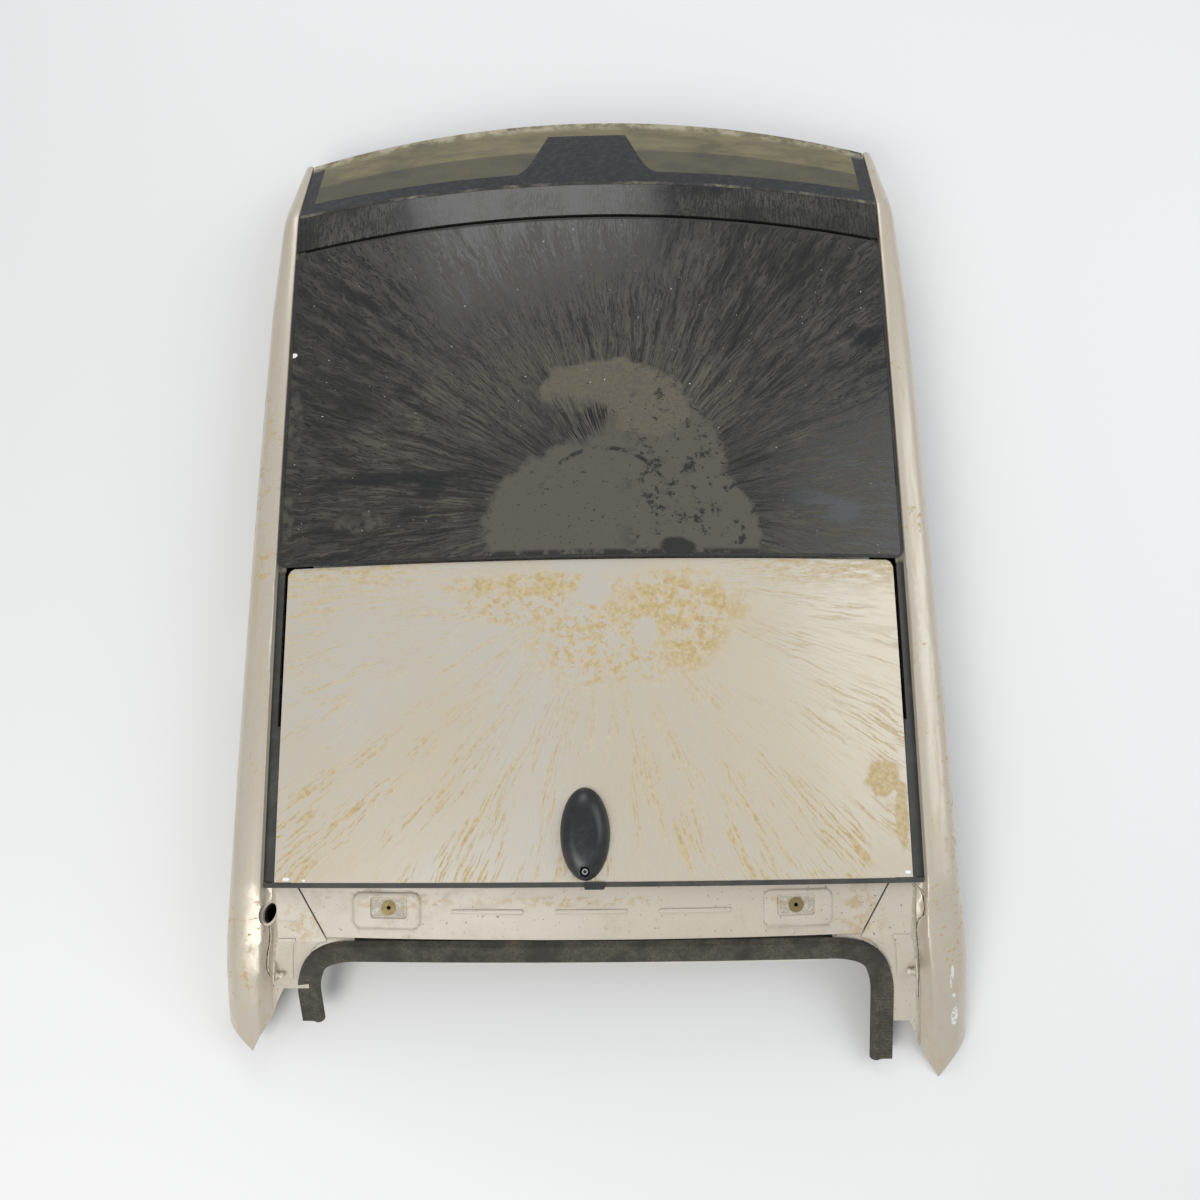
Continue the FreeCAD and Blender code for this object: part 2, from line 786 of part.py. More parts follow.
def hinge_pin(y):
    inner = guide_web + running
    outer = guide_outer - guide_wall - running
    return cylinder(pin_point(y, inner), V(1, 0, 0), pin_radius, outer - inner)


def glass_bracket():
    # plate under each side of the glass, hinged at the front slide, slotted for the lift arm
    x0 = bracket_inner
    under = glass_thickness

    def side_face(points):
        return Part.Face(polygon([V(x0, y, z) for y, z in points])).extrude(V(plate, 0, 0))
    hinge = pin_point(hinge_y)
    lift = V(0, lift_arm_y + lift_arm_length - lift_slot_back, guide_z(lift_arm_y) - pin_drop + lift_slot_rise)
    half_slot = lift_slot_length / 2
    half_width = lift_slot_width / 2
    rim = 3.5
    eye = bracket_eye
    low = bracket_lift
    points = [
        (hinge_y + eye, -20), (hinge_y + eye, hinge.z), (hinge_y - eye, hinge.z),
        (hinge_y - 40, guide_z(hinge_y) + low), (lift.y + half_slot + 40, guide_z(lift.y) + low),
        (lift.y + half_slot + rim, lift.z - half_width - rim + 1),
        (lift.y - half_slot - rim, lift.z - half_width - rim + 1),
        (lift.y - half_slot - rim - 25, guide_z(lift.y) + low + 6), (bracket_rear_y, -20),
    ]
    web = side_face(points)
    web = web.fuse(cylinder(V(x0, hinge_y, hinge.z), V(1, 0, 0), eye, plate))
    web = web.cut(crown_shell(-60, under, bracket_rear_y - 40, hinge_y + 40, glass_half))
    flange_plan = box(x0, x0 + bracket_flange, bracket_rear_y, hinge_y + eye, -200, 60)
    flange = crown_shell(under, under + plate, bracket_rear_y - 20, hinge_y + 40, glass_half).common(flange_plan)
    whole = web.fuse(flange)
    slot = box(x0 - 5, x0 + 5, lift.y - half_slot + half_width, lift.y + half_slot - half_width,
               lift.z - half_width, lift.z + half_width)
    ends = [cylinder(V(x0 - 5, lift.y + sign * (half_slot - half_width), lift.z), V(1, 0, 0), half_width, 10)
            for sign in (-1, 1)]
    bore = cylinder(V(x0 - 5, hinge_y, hinge.z), V(1, 0, 0), pin_radius + pin_clearance, 10)
    return whole.cut(slot.fuse(ends)).cut(bore).removeSplitter()


def lift_arm():
    start = pin_point(lift_arm_y, bracket_inner + plate + arm_gap)
    end = start + V(0, lift_arm_length, 0)
    eye = lift_arm_eye
    bar = box(start.x, start.x + plate, start.y, end.y, start.z - eye * 0.75, start.z + eye * 0.75)
    eyes = [cylinder(point, V(1, 0, 0), eye, plate) for point in (start, end)]
    arm = bar.fuse(eyes)
    arm = arm.cut(cylinder(start - V(5, 0, 0), V(1, 0, 0), pin_radius + pin_clearance, 20))
    pin = cylinder(end - V(plate + arm_gap, 0, 0), V(1, 0, 0), pin_radius, plate + arm_gap + plate)
    return arm.fuse(pin).removeSplitter()


def sunroof_mechanism():
    add_pair("guide_rail", guide_rail())
    add_pair("front_slide", slide_block(hinge_y))
    add_pair("rear_slide", slide_block(lift_arm_y))
    pins = [hinge_pin(hinge_y), hinge_pin(lift_arm_y)]
    add("hinge_pins", Part.makeCompound(pins + [mirrored(pin) for pin in pins]))
    add_pair("glass_bracket", glass_bracket())
    add_pair("lift_arm", lift_arm())
    hangers = []
    first, last = guide_front - 30, guide_rear + 30
    blocked = shapes["side_panel_right"].fuse(shapes["inner_rail_right"])
    for i in range(hanger_count):
        y = first + (last - first) * i / (hanger_count - 1)
        x = guide_outer - 0.5 - hanger_size
        post = box(x, x + hanger_size, y - hanger_size, y + hanger_size, guide_z(y) - 1, guide_z(y) + 60)
        post = post.cut(shapes["guide_rail_right"]).cut(blocked)
        lowest = min(post.Solids, key=lambda solid: solid.BoundBox.ZMin)
        hangers += [lowest, mirrored(lowest)]
    add("guide_hangers", Part.makeCompound(hangers))


def sunshade():
    edge = roof_z(shade_half, crown_y)

    def shade_z(y):
        return guide_z(y) - shade_drop

    def sheet_face(low, high):
        a, b, c = (V(x, shade_front, shade_z(shade_front) + roof_z(x, crown_y) - edge + high)
                   for x in (-shade_half, 0, shade_half))
        d, e, f = (V(x, shade_front, shade_z(shade_front) + roof_z(x, crown_y) - edge + low)
                   for x in (-shade_half, 0, shade_half))
        return Part.Face(Part.Wire([arc(a, b, c), line(c, f), arc(f, e, d), line(d, a)]))
    run = shade_front - shade_rear
    panel = sheet_face(0, shade_thickness).extrude(V(0, -run, run * slide_rise))
    add("sunshade_panel", panel)
    web = guide_web - guide_wall - running
    lip = web - lip_reach + running
    low = -shade_slot_bottom + running
    tab_low = -shade_drop
    outline = [(web, low + runner_height), (web, low), (lip, low), (lip, tab_low), (shade_half, tab_low),
               (shade_half, tab_low + shade_thickness), (lip, tab_low + shade_thickness), (lip, low + runner_height)]
    runner = along_guide(outline, shade_front, shade_rear)
    add("shade_runners", Part.makeCompound([runner, mirrored(runner)]))
    top = shade_z(shade_front - 30) - edge
    handle = rounded_box(-handle_width / 2, handle_width / 2, shade_front - 12 - handle_depth, shade_front - 12,
                         top - handle_height, top + 5, 5)
    below = sheet_face(0, 40).extrude(V(0, -run, run * slide_rise))
    handle = handle.cut(below)
    scoop = box(-handle_width / 2 + 6, handle_width / 2 - 6, shade_front - 12 - handle_depth - 5,
                shade_front - 12 - 6, top - handle_height + 2.5, top - 2)
    add("shade_handle", handle.cut(scoop))


def wind_deflector():
    line_mid = (glass_front_side, glass_front_mid)
    bar = roof_panel(band(deflector_x, -deflector_back, -deflector_back + deflector_bar, *line_mid),
                     deflector_drop, deflector_drop + deflector_bar * 0.7)
    pivot_z = guide_z(deflector_y) + deflector_lift
    arms = []
    bores = []
    posts = []
    for sign in (-1, 1):
        x0 = min(sign * deflector_x, sign * (deflector_x - deflector_plate))
        bar_y = glass_front_side - deflector_back + 3
        bar_z = roof_z(deflector_x, bar_y, deflector_drop + deflector_bar * 0.35)
        reach = 4.0
        points = [(deflector_y, pivot_z - reach), (bar_y, bar_z - reach), (bar_y, bar_z + reach),
                  (deflector_y, pivot_z + reach)]
        arm = Part.Face(polygon([V(x0, y, z) for y, z in points])).extrude(V(deflector_plate, 0, 0))
        arm = arm.fuse(cylinder(V(x0, deflector_y, pivot_z), V(1, 0, 0), deflector_eye, deflector_plate))
        arms.append(arm)
        bores.append(cylinder(V(x0 - 5, deflector_y, pivot_z), V(1, 0, 0), 2.5 + pin_clearance, 14))
        inner = sign * (deflector_x - deflector_plate - 0.4)
        post_x = min(inner, inner - sign * post_width)
        post = box(post_x, post_x + post_width, deflector_y - 7, deflector_y + 7, guide_z(deflector_y - 7) - 0.02,
                   pivot_z + 5)
        post = post.cut(shapes["guide_rail_right"]).cut(shapes["guide_rail_left"])
        pin = cylinder(V(inner, deflector_y, pivot_z), V(sign, 0, 0), 2.5, deflector_plate + 0.9)
        posts.append(post.fuse(pin))
    whole = bar.fuse(arms).cut(bores[0].fuse(bores[1:]))
    add("wind_deflector", whole.removeSplitter())
    add("deflector_pivots", Part.makeCompound(posts))


def pinion():
    # small spur gear between the two drive cables
    count = pinion_teeth
    root = pinion_pitch_radius - pinion_tooth / 2
    tip = pinion_pitch_radius + pinion_tooth / 2
    points = []
    for i in range(count):
        for share, radius in ((0.0, root), (0.28, root), (0.42, tip), (0.72, tip), (0.86, root)):
            a = 2 * math.pi * (i + share) / count
            points.append(V(radius * math.cos(a), radius * math.sin(a), 0))
    return Part.Face(polygon(points)).extrude(V(0, 0, pinion_height))


def cable_height(x, y):
    # cables lie on the floor of the front frame
    return roof_z(x, y, frame_bottom - frame_wall) + cable_radius + cable_gap


def drive():
    housing_top = roof_z(0, motor_y + gear_width / 2, frame_bottom)
    low = housing_top - gear_height
    housing = rounded_box(-gear_length / 2, gear_length / 2, motor_y - gear_width / 2, motor_y + gear_width / 2,
                          low, housing_top, gear_corner)
    housing = housing.cut(crown_shell(0, frame_bottom, motor_y - 60, motor_y + 60, 200))
    housing = housing.cut(cylinder(V(0, motor_y, low + gear_height * 0.25), V(0, 0, 1), shaft_radius + running,
                                   gear_height))
    motor_x = gear_length / 2
    motor_z = low + gear_height / 2 - 4
    collar = cylinder(V(motor_x - 6, motor_y, motor_z), V(1, 0, 0), motor_radius - 4, 8)
    screws = []
    holes = []
    for x, y in ((-1, -1), (-1, 1), (1, 1)):
        px = x * (gear_length / 2 - 9)
        py = motor_y + y * (gear_width / 2 - 9)
        holes.append(cylinder(V(px, py, low - 1), V(0, 0, 1), screw_radius, screw_length))
        shank = cylinder(V(px, py, low), V(0, 0, 1), screw_radius, screw_length - 1)
        screws.append(shank.fuse(cylinder(V(px, py, low - 3), V(0, 0, 1), screw_head, 3)))
    add("gear_housing", housing.cut(holes[0].fuse(holes[1:])))
    add("motor_screws", Part.makeCompound(screws))
    can = cylinder(V(motor_x, motor_y, motor_z), V(1, 0, 0), motor_radius, motor_length)
    can = can.makeFillet(3, [edge for edge in can.Edges if edge.BoundBox.XMin > motor_x + motor_length - 1])
    boss = cylinder(V(motor_x + motor_length, motor_y, motor_z), V(1, 0, 0), 7, 4)
    can = can.fuse(boss).cut(crown_shell(0, frame_bottom, motor_y - 60, motor_y + 60, 300))
    add("drive_motor", can)
    floor = roof_z(0, motor_y, frame_bottom - frame_wall) + pinion_gap
    gear = pinion()
    gear.translate(V(0, motor_y, floor))
    shaft = cylinder(V(0, motor_y, low + gear_height * 0.3), V(0, 0, 1), shaft_radius,
                     floor + pinion_height - low - gear_height * 0.3)
    add("drive_pinion", gear.fuse(shaft).removeSplitter())
    reach = pinion_pitch_radius + pinion_tooth / 2 + cable_radius + cable_gap
    start_z = guide_z(guide_front) - guide_height / 2
    tubes = []
    grooves = []
    for sign in (-1, 1):
        y = motor_y + sign * reach
        rail_x = sign * (guide_web + 6)
        points = [V(rail_x, guide_front + 0.5, start_z)]
        for share, ahead in ((0.93, 0.55), (0.78, 0.95), (0.5, 1.0), (0.25, 1.0)):
            x = rail_x * share
            lane = guide_front + (y - guide_front) * ahead
            points.append(V(x, lane, cable_height(x, lane)))
        points += [V(0, y, cable_height(0, y)), V(-sign * cable_overrun, y, cable_height(cable_overrun, y))]
        tubes.append(tube(points, cable_radius))
        grooves.append(tube(points, cable_radius + 0.3))
    add("cable_guides", Part.makeCompound(tubes))
    hole = cylinder(V(0, motor_y, low), V(0, 0, 1), shaft_radius + running, 60)
    shapes["front_frame"] = shapes["front_frame"].cut(grooves[0].fuse([grooves[1], hole]))


def rear_header():
    half_f, half_r = header_half_front, header_half_rear
    low, high = -320.0, 60.0
    outline = [V(-half_f, skin_rear, low), V(half_f, skin_rear, low), V(half_r, header_rear, low),
               V(-half_r, header_rear, low)]
    plan = Part.Face(polygon(outline)).extrude(V(0, 0, high - low))
    depth = header_depth
    panel = roof_panel(plan, depth, depth + sheet)
    raised = []
    hollows = []

    def emboss(x0, x1, y0, y1, corner):
        outer = rounded_box(x0, x1, y0, y1, low, high, corner)
        inner = rounded_box(x0 + sheet, x1 - sheet, y0 + sheet, y1 - sheet, low, high, corner - sheet)
        raised.append(crown_shell(depth - pad_height, depth + sheet / 2, y0 - 20, y1 + 20, half_f).common(outer))
        hollows.append(crown_shell(depth - pad_height + sheet, depth + 3, y0 - 20, y1 + 20, half_f).common(inner))
    for sign in (-1, 1):
        x0, x1 = sorted((sign * pad_inner, sign * pad_outer))
        emboss(x0, x1, pad_rear, pad_front, pad_corner)
    for i in (-1, 0, 1):
        x = i * rib_pitch
        emboss(x - rib_length / 2, x + rib_length / 2, rib_y - rib_width / 2, rib_y + rib_width / 2, rib_width * 0.45)
    panel = panel.fuse(raised).cut(hollows[0].fuse(hollows[1:]))
    seats = []
    wells = []
    bores = []
    for sign in (-1, 1):
        x = sign * insert_spacing / 2
        y0, y1 = insert_y - recess_width / 2, insert_y + recess_width / 2
        x0, x1 = x - recess_length / 2, x + recess_length / 2
        well = rounded_box(x0, x1, y0, y1, low, high, recess_corner)
        ring = rounded_box(x0 - sheet, x1 + sheet, y0 - sheet, y1 + sheet, low, high, recess_corner + sheet)
        wells.append(crown_shell(depth - pad_height - 5, depth, y0 - 20, y1 + 20, half_f).common(well))
        seats.append(crown_shell(depth - pad_height, depth + sheet, y0 - 20, y1 + 20, half_f).common(ring))
        bores.append(cylinder(V(x, insert_y, low), V(0, 0, 1), insert_body / 2, high - low))
    panel = panel.fuse(seats).cut(wells[0].fuse(wells[1:])).cut(bores[0].fuse(bores[1:]))
    flange = roof_panel(box(-half_r + 6, half_r - 6, header_rear, header_rear + sheet, low, high), depth,
                        depth + header_flange)
    panel = tilted(panel.fuse(flange))
    under = skin_drop + sheet
    wall = roof_panel(box(-half_f, half_f, skin_rear - sheet, skin_rear, low, high), under, depth + sheet)
    shelf = roof_panel(box(-half_f, half_f, skin_rear - sheet, skin_rear + 14, low, high), under, under + sheet)
    add("rear_header", panel.fuse([wall, shelf]).removeSplitter())
    inserts = []
    for sign in (-1, 1):
        x = sign * insert_spacing / 2
        z = roof_z(x, insert_y, depth)
        body = cylinder(V(x, insert_y, z - insert_length), V(0, 0, 1), insert_body / 2, insert_length + 3)
        head = cylinder(V(x, insert_y, z - 5), V(0, 0, 1), insert_flange / 2, 5 + insert_flange_height)
        surface = crown_shell(depth, depth + 20, insert_y - 40, insert_y + 40, half_f)
        head = head.cut(surface)
        insert = body.fuse(head)
        insert = insert.common(cylinder(V(x, insert_y, z - 50), V(0, 0, 1), insert_flange, 50 + insert_flange_height))
        insert = insert.cut(cylinder(V(x, insert_y, z - 60), V(0, 0, 1), insert_bore / 2, 80))
        inserts.append(tilted(insert))
    add("hinge_inserts", Part.makeCompound(inserts))
    top = depth + sheet
    rear = inner_header_rear
    outer = roof_panel(box(-inner_header_half, inner_header_half, rear, skin_rear - 6, low, high), top,
                       depth + inner_header_drop)
    hollow = roof_panel(box(-inner_header_half - 5, inner_header_half + 5, rear - 5, skin_rear - 6 - sheet, low, high),
                        top - 1, depth + inner_header_drop - sheet)
    add("rear_header_inner", tilted(outer.cut(hollow)))
    strip = roof_panel(box(-glass_half, glass_half, skin_rear - sheet - strip_width, skin_rear - sheet, low, high),
                       skin_drop + 0.5, skin_drop + 0.5 + strip_height)
    add("rear_strip", strip)


def channel_section(y):
    # corner water channel between the header and the pillar stub
    seam = side_section(y)[0]
    if y >= header_rear:
        share = (skin_rear - y) / (skin_rear - header_rear)
        x = header_half_front + (header_half_rear - header_half_front) * share
        z = header_z(x, y)
    else:
        drop = header_rear - y
        r = aperture_corner
        reach = aperture_reach * math.sqrt(max(1.0 - (1.0 - min(drop, r) / r) ** 2, 0.0))
        x = header_half_rear + reach + max(drop - r, 0) * 0.12
        z = header_z(header_half_rear, header_rear) - drop * channel_slope
    end_x, end_z = seam[0] - 0.3, seam[1]
    fold = x + (end_x - x) * 0.84
    fold_z = z + (end_z - z) * 0.12
    return [(x, z - channel_flange), (x, z), (fold, fold_z), (end_x, end_z)]


def channel_stations(end):
    stations = [skin_rear - sheet]
    stations += [skin_rear + (header_rear - skin_rear) * i / 3 for i in (1, 2, 3)]
    stations += [header_rear - aperture_corner * (1 - math.cos(math.radians(a))) for a in (25, 50, 75, 90)]
    start = stations[-1]
    step = 16.0
    count = max(1, round((start - end) / step))
    return stations + [start + (end - start) * i / count for i in range(1, count + 1)]


def corner_channel(end):
    return sheet_loft(channel_stations(end), channel_section)


def strut_bracket():
    # stepped bracket on the channel floor, with an ear that carries the ball stud
    def section(y):
        (x0, _), (x, z), (fold, fold_z), end = channel_section(y)
        lift = bracket_sheet
        inner = fold - bracket_width * 0.62
        share = (inner - x) / (fold - x)
        inner_z = z + (fold_z - z) * share
        return [(inner, inner_z + lift), (fold - 0.6, fold_z + lift)]
    inside = [y for y in channel_stations(bracket_rear) if bracket_rear < y < bracket_front]
    foot = sheet_loft([bracket_front] + inside + [bracket_rear], section, bracket_sheet)
    x1 = ball_x + stud_neck_length + stud_base_length
    ear = box(x1, x1 + bracket_sheet, ball_y - 9, ball_y + 22, ball_z - 14, ball_z + 9)
    room_start = ball_x - ball_radius - stud_room
    room = cylinder(V(room_start, ball_y, ball_z), V(1, 0, 0), stud_base_radius + stud_room, x1 - room_start)
    bracket = foot.fuse(ear).cut(shapes["corner_channel_right"]).cut(room)
    return max(bracket.Solids, key=lambda item: item.Volume)


def ball_stud(sign):
    # ball, neck and base turned about the X axis
    start = -ball_radius
    meet = math.sqrt(ball_radius ** 2 - stud_neck_radius ** 2)
    base = stud_neck_length
    outline = [arc(V(start, 0, 0), V(0, 0, ball_radius), V(meet, 0, stud_neck_radius))]
    corners = [V(meet, 0, stud_neck_radius), V(base, 0, stud_neck_radius), V(base, 0, stud_base_radius),
               V(base + stud_base_length, 0, stud_base_radius), V(base + stud_base_length, 0, 0), V(start, 0, 0)]
    outline += [line(p, q) for p, q in zip(corners, corners[1:])]
    stud = Part.Face(Part.Wire(outline)).revolve(V(0, 0, 0), V(1, 0, 0), 360)
    stud.translate(V(ball_x, ball_y, ball_z))
    return stud if sign > 0 else mirrored(stud)


def rear_corners():
    right = corner_channel(saw_right[1][1] - 4).cut(saw_prism(saw_right))
    left = mirrored(corner_channel(saw_left[1][1] - 4).cut(saw_prism(saw_left)))
    hole = upright_oval(-hole_x, hole_y, *hole_half, -200, 50)
    hole.rotate(V(-hole_x, hole_y, 0), V(0, 0, 1), -20)
    ring = upright_oval(-hole_x, hole_y, hole_half[0] + ring_wall, hole_half[1] + ring_wall, -200, 50)
    ring.rotate(V(-hole_x, hole_y, 0), V(0, 0, 1), -20)
    z = header_z(hole_x, hole_y)
    slab = box(-700, -400, hole_y - 60, hole_y + 60, z - ring_height, z + 2)
    add("corner_ring_left", ring.cut(hole).common(slab))
    add("corner_channel_right", right)
    add("corner_channel_left", left.cut(ring))
    shapes["side_panel_left"] = shapes["side_panel_left"].cut(ring)
    add("ball_studs", Part.makeCompound([ball_stud(-1), ball_stud(1)]))
    add_pair("strut_bracket", strut_bracket())


def tailgate_seal():
    span = header_half_rear
    end_l, end_r = seal_end_left, seal_end_right
    z_mid = header_z(0, header_rear) - 11
    z_q = header_z(span / 2, header_rear) - 11
    z_side = header_z(span, header_rear) - 11
    leg, bend, inner = span + aperture_reach - 2, span + aperture_reach * 0.45, span - 27
    points = [end_l, V(-leg, -725, z_side - 40), V(-bend, seal_y - 13, z_side - 12),
              V(-inner, seal_y, z_side + 2), V(-span / 2, seal_y, z_q), V(0, seal_y, z_mid),
              V(span / 2, seal_y, z_q), V(inner, seal_y, z_side + 2),
              V(bend, seal_y - 13, z_side - 12), V(leg, -725, z_side - 40), end_r]
    path = rounded_path(points)
    r = bulb_radius
    y = math.sqrt(r * r - 36)
    c = carrier_half
    far = r + 2 + carrier_length
    start = points[0]
    ahead = points[1] - points[0]
    ahead.normalize()
    across = V(1, 0, 0) - ahead * ahead.x
    across.normalize()
    up = across.cross(ahead)

    def at(u, w):
        return start + across * (-u) + up * w
    edges = [arc(at(6, y), at(-r, 0), at(6, -y)), line(at(6, -y), at(r, -c)), line(at(r, -c), at(far, -c)),
             line(at(far, -c), at(far, c)), line(at(far, c), at(r, c)), line(at(r, c), at(6, y))]
    seal = path.makePipeShell([Part.Wire(edges)], True, False)
    for name in ("rear_header", "rear_header_inner", "corner_channel_left", "corner_channel_right"):
        seal = seal.cut(shapes[name])
    add("tailgate_seal", max(seal.Solids, key=lambda item: item.Volume))


def antenna():
    centre = V(antenna_x, antenna_rear + antenna_length / 2, 0)
    floor = roof_z(0, antenna_rear, skin_drop) - 12
    top = roof_z(0, centre.y, skin_drop)
    rings = []
    for height, share in ((floor - top, 1.0), (0.3 * antenna_height, 0.97), (0.72 * antenna_height, 0.8),
                          (antenna_height, 0.42)):
        oval = Part.Ellipse(V(0, 0, 0), antenna_length / 2 * share, antenna_width / 2 * share).toShape()
        oval.rotate(V(0, 0, 0), V(0, 0, 1), 90)
        oval.translate(centre + V(0, 0, top + height))
        rings.append(Part.Wire([oval]))
    base = Part.makeLoft(rings, True, False)
    boss_top = roof_z(0, boss_y, skin_drop) + boss_height
    boss = cylinder(V(antenna_x, boss_y, floor), V(0, 0, 1), boss_radius, boss_top - floor)
    base = base.fuse(boss).cut(cylinder(V(antenna_x, boss_y, boss_top - boss_bore_depth), V(0, 0, 1), boss_bore, 60))
    seat = skin_drop - antenna_gasket_height
    base = base.cut(crown_shell(seat, seat + 60, skin_rear - 60, centre.y + 120, 200))
    add("antenna_base", base)
    plan = upright_oval(centre.x, centre.y, antenna_width / 2 - 1, antenna_length / 2 - 1, -100, 60)
    gasket = crown_shell(seat, skin_drop, skin_rear - 60, centre.y + 120, 200).common(plan)
    add("antenna_gasket", gasket.cut(cylinder(V(centre.x, centre.y, -100), V(0, 0, 1), cable_hole, 200)))
    stud = cylinder(V(antenna_x, boss_y, boss_top - boss_bore_depth), V(0, 0, 1), stud_radius, boss_bore_depth + 3)
    add("antenna_stud", stud.cut(cylinder(V(antenna_x, boss_y, boss_top - boss_bore_depth + 2), V(0, 0, 1),
                                          mast_thread / 2, 30)))
    strip_top = skin_drop + 0.5
    y1 = skin_rear + 1
    tab = rounded_box(antenna_x - 2, antenna_x - 2 + tab_width, y1 - tab_length, skin_rear - sheet, -100, 60, 3)
    add("antenna_tab", roof_panel(tab, strip_top - tab_height, strip_top))


def body_sides():
    right = side_panel()
    low = side_top(-125) - rail_depth
    x = rail_half(-125) - 10
    pillar = box(x - sheet, x, door_pillar_rear, door_pillar_front, low - door_pillar_drop, low + 3)
    right = right.fuse(pillar).removeSplitter()
    left = mirrored(right)
    right = right.fuse(torn_strip()).removeSplitter()
    add("side_panel_right", right.cut(saw_prism(saw_right)))
    add("side_panel_left", left.cut(mirrored(saw_prism(saw_left))))

    def inner_section(y):
        top = side_top(y) - ledge_depth - sheet
        out = rail_half(y)
        return [(ledge_inner + 1, top), (corridor_half - 1, top), (corridor_half + 6, top - 22),
                (corridor_half + 10, top - 52), (out - 14, top - 76)]
    stations = [cut_side, (cut_side + seam_side) / 2, seam_side + pillar_bend, seam_side, seam_side - pillar_bend]
    stations += [stations[-1] + (rail_end - stations[-1]) * i / 5 for i in range(1, 6)]
    inner = sheet_loft(stations, inner_section)
    add_pair("inner_rail", inner.cut(shapes["side_panel_right"]))
    moulding = roof_panel(box(moulding_inner, guide_outer + 2, skin_rear - sheet + 1, -2 * skin_gap, -300, 60),
                          ledge_depth - moulding_height, ledge_depth)
    clear_y = bracket_rear_y - slide_travel - 15
    wide = roof_panel(box(skin_half + 1.5, moulding_inner + 1, skin_rear - sheet + 1, clear_y, -300, 60),
                      ledge_depth - moulding_height, ledge_depth)
    moulding = moulding.fuse(wide).removeSplitter()
    add_pair("side_moulding", moulding.cut(shapes["side_panel_right"]))


body_sides()
glass_and_rim()
roof_skin()
windscreen_area()
front_tray = front_panel_area()
spigots(front_tray)
sunroof_mechanism()
sunshade()
wind_deflector()
drive()
rear_header()
rear_corners()
tailgate_seal()
antenna()

os.makedirs("parts", exist_ok=True)
shift = V(0, -(cut_mid + tip_right) / 2, rest_depth)
for name, shape in shapes.items():
    moved = shape.copy()
    moved.translate(shift)
    moved.exportStep("parts/" + name + ".step")
    print(name, len(shape.Solids), shape.isValid(), round(shape.Volume))
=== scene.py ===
# Weathered roof section of a hatchback with a tilt-and-slide sunroof: finishes, dirt, light and camera.
import json
import math

import bmesh
import bpy
from mathutils import Matrix, Vector, noise
from mathutils.bvhtree import BVHTree

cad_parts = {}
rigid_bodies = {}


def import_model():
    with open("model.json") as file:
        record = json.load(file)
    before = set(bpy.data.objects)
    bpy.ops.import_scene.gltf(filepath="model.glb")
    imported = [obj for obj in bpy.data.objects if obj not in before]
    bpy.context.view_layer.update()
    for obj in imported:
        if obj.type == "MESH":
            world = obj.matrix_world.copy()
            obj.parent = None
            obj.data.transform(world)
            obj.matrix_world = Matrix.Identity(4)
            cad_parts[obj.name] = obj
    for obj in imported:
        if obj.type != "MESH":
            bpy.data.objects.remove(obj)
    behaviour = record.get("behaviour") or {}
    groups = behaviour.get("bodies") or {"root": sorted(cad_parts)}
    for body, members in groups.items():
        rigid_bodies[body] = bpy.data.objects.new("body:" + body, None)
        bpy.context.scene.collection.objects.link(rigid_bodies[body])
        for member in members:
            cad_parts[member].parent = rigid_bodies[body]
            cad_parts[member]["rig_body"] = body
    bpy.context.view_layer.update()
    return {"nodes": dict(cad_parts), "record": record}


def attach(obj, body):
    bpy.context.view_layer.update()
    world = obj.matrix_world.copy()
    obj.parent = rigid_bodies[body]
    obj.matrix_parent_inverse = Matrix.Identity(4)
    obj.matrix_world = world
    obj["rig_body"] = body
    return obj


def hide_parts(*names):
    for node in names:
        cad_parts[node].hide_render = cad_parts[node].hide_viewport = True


def linear(red, green, blue):
    # screen colour from 0 to 255 as a linear colour
    def channel(value):
        value = value / 255
        return value / 12.92 if value <= 0.04045 else ((value + 0.055) / 1.055) ** 2.4
    return (channel(red), channel(green), channel(blue), 1.0)


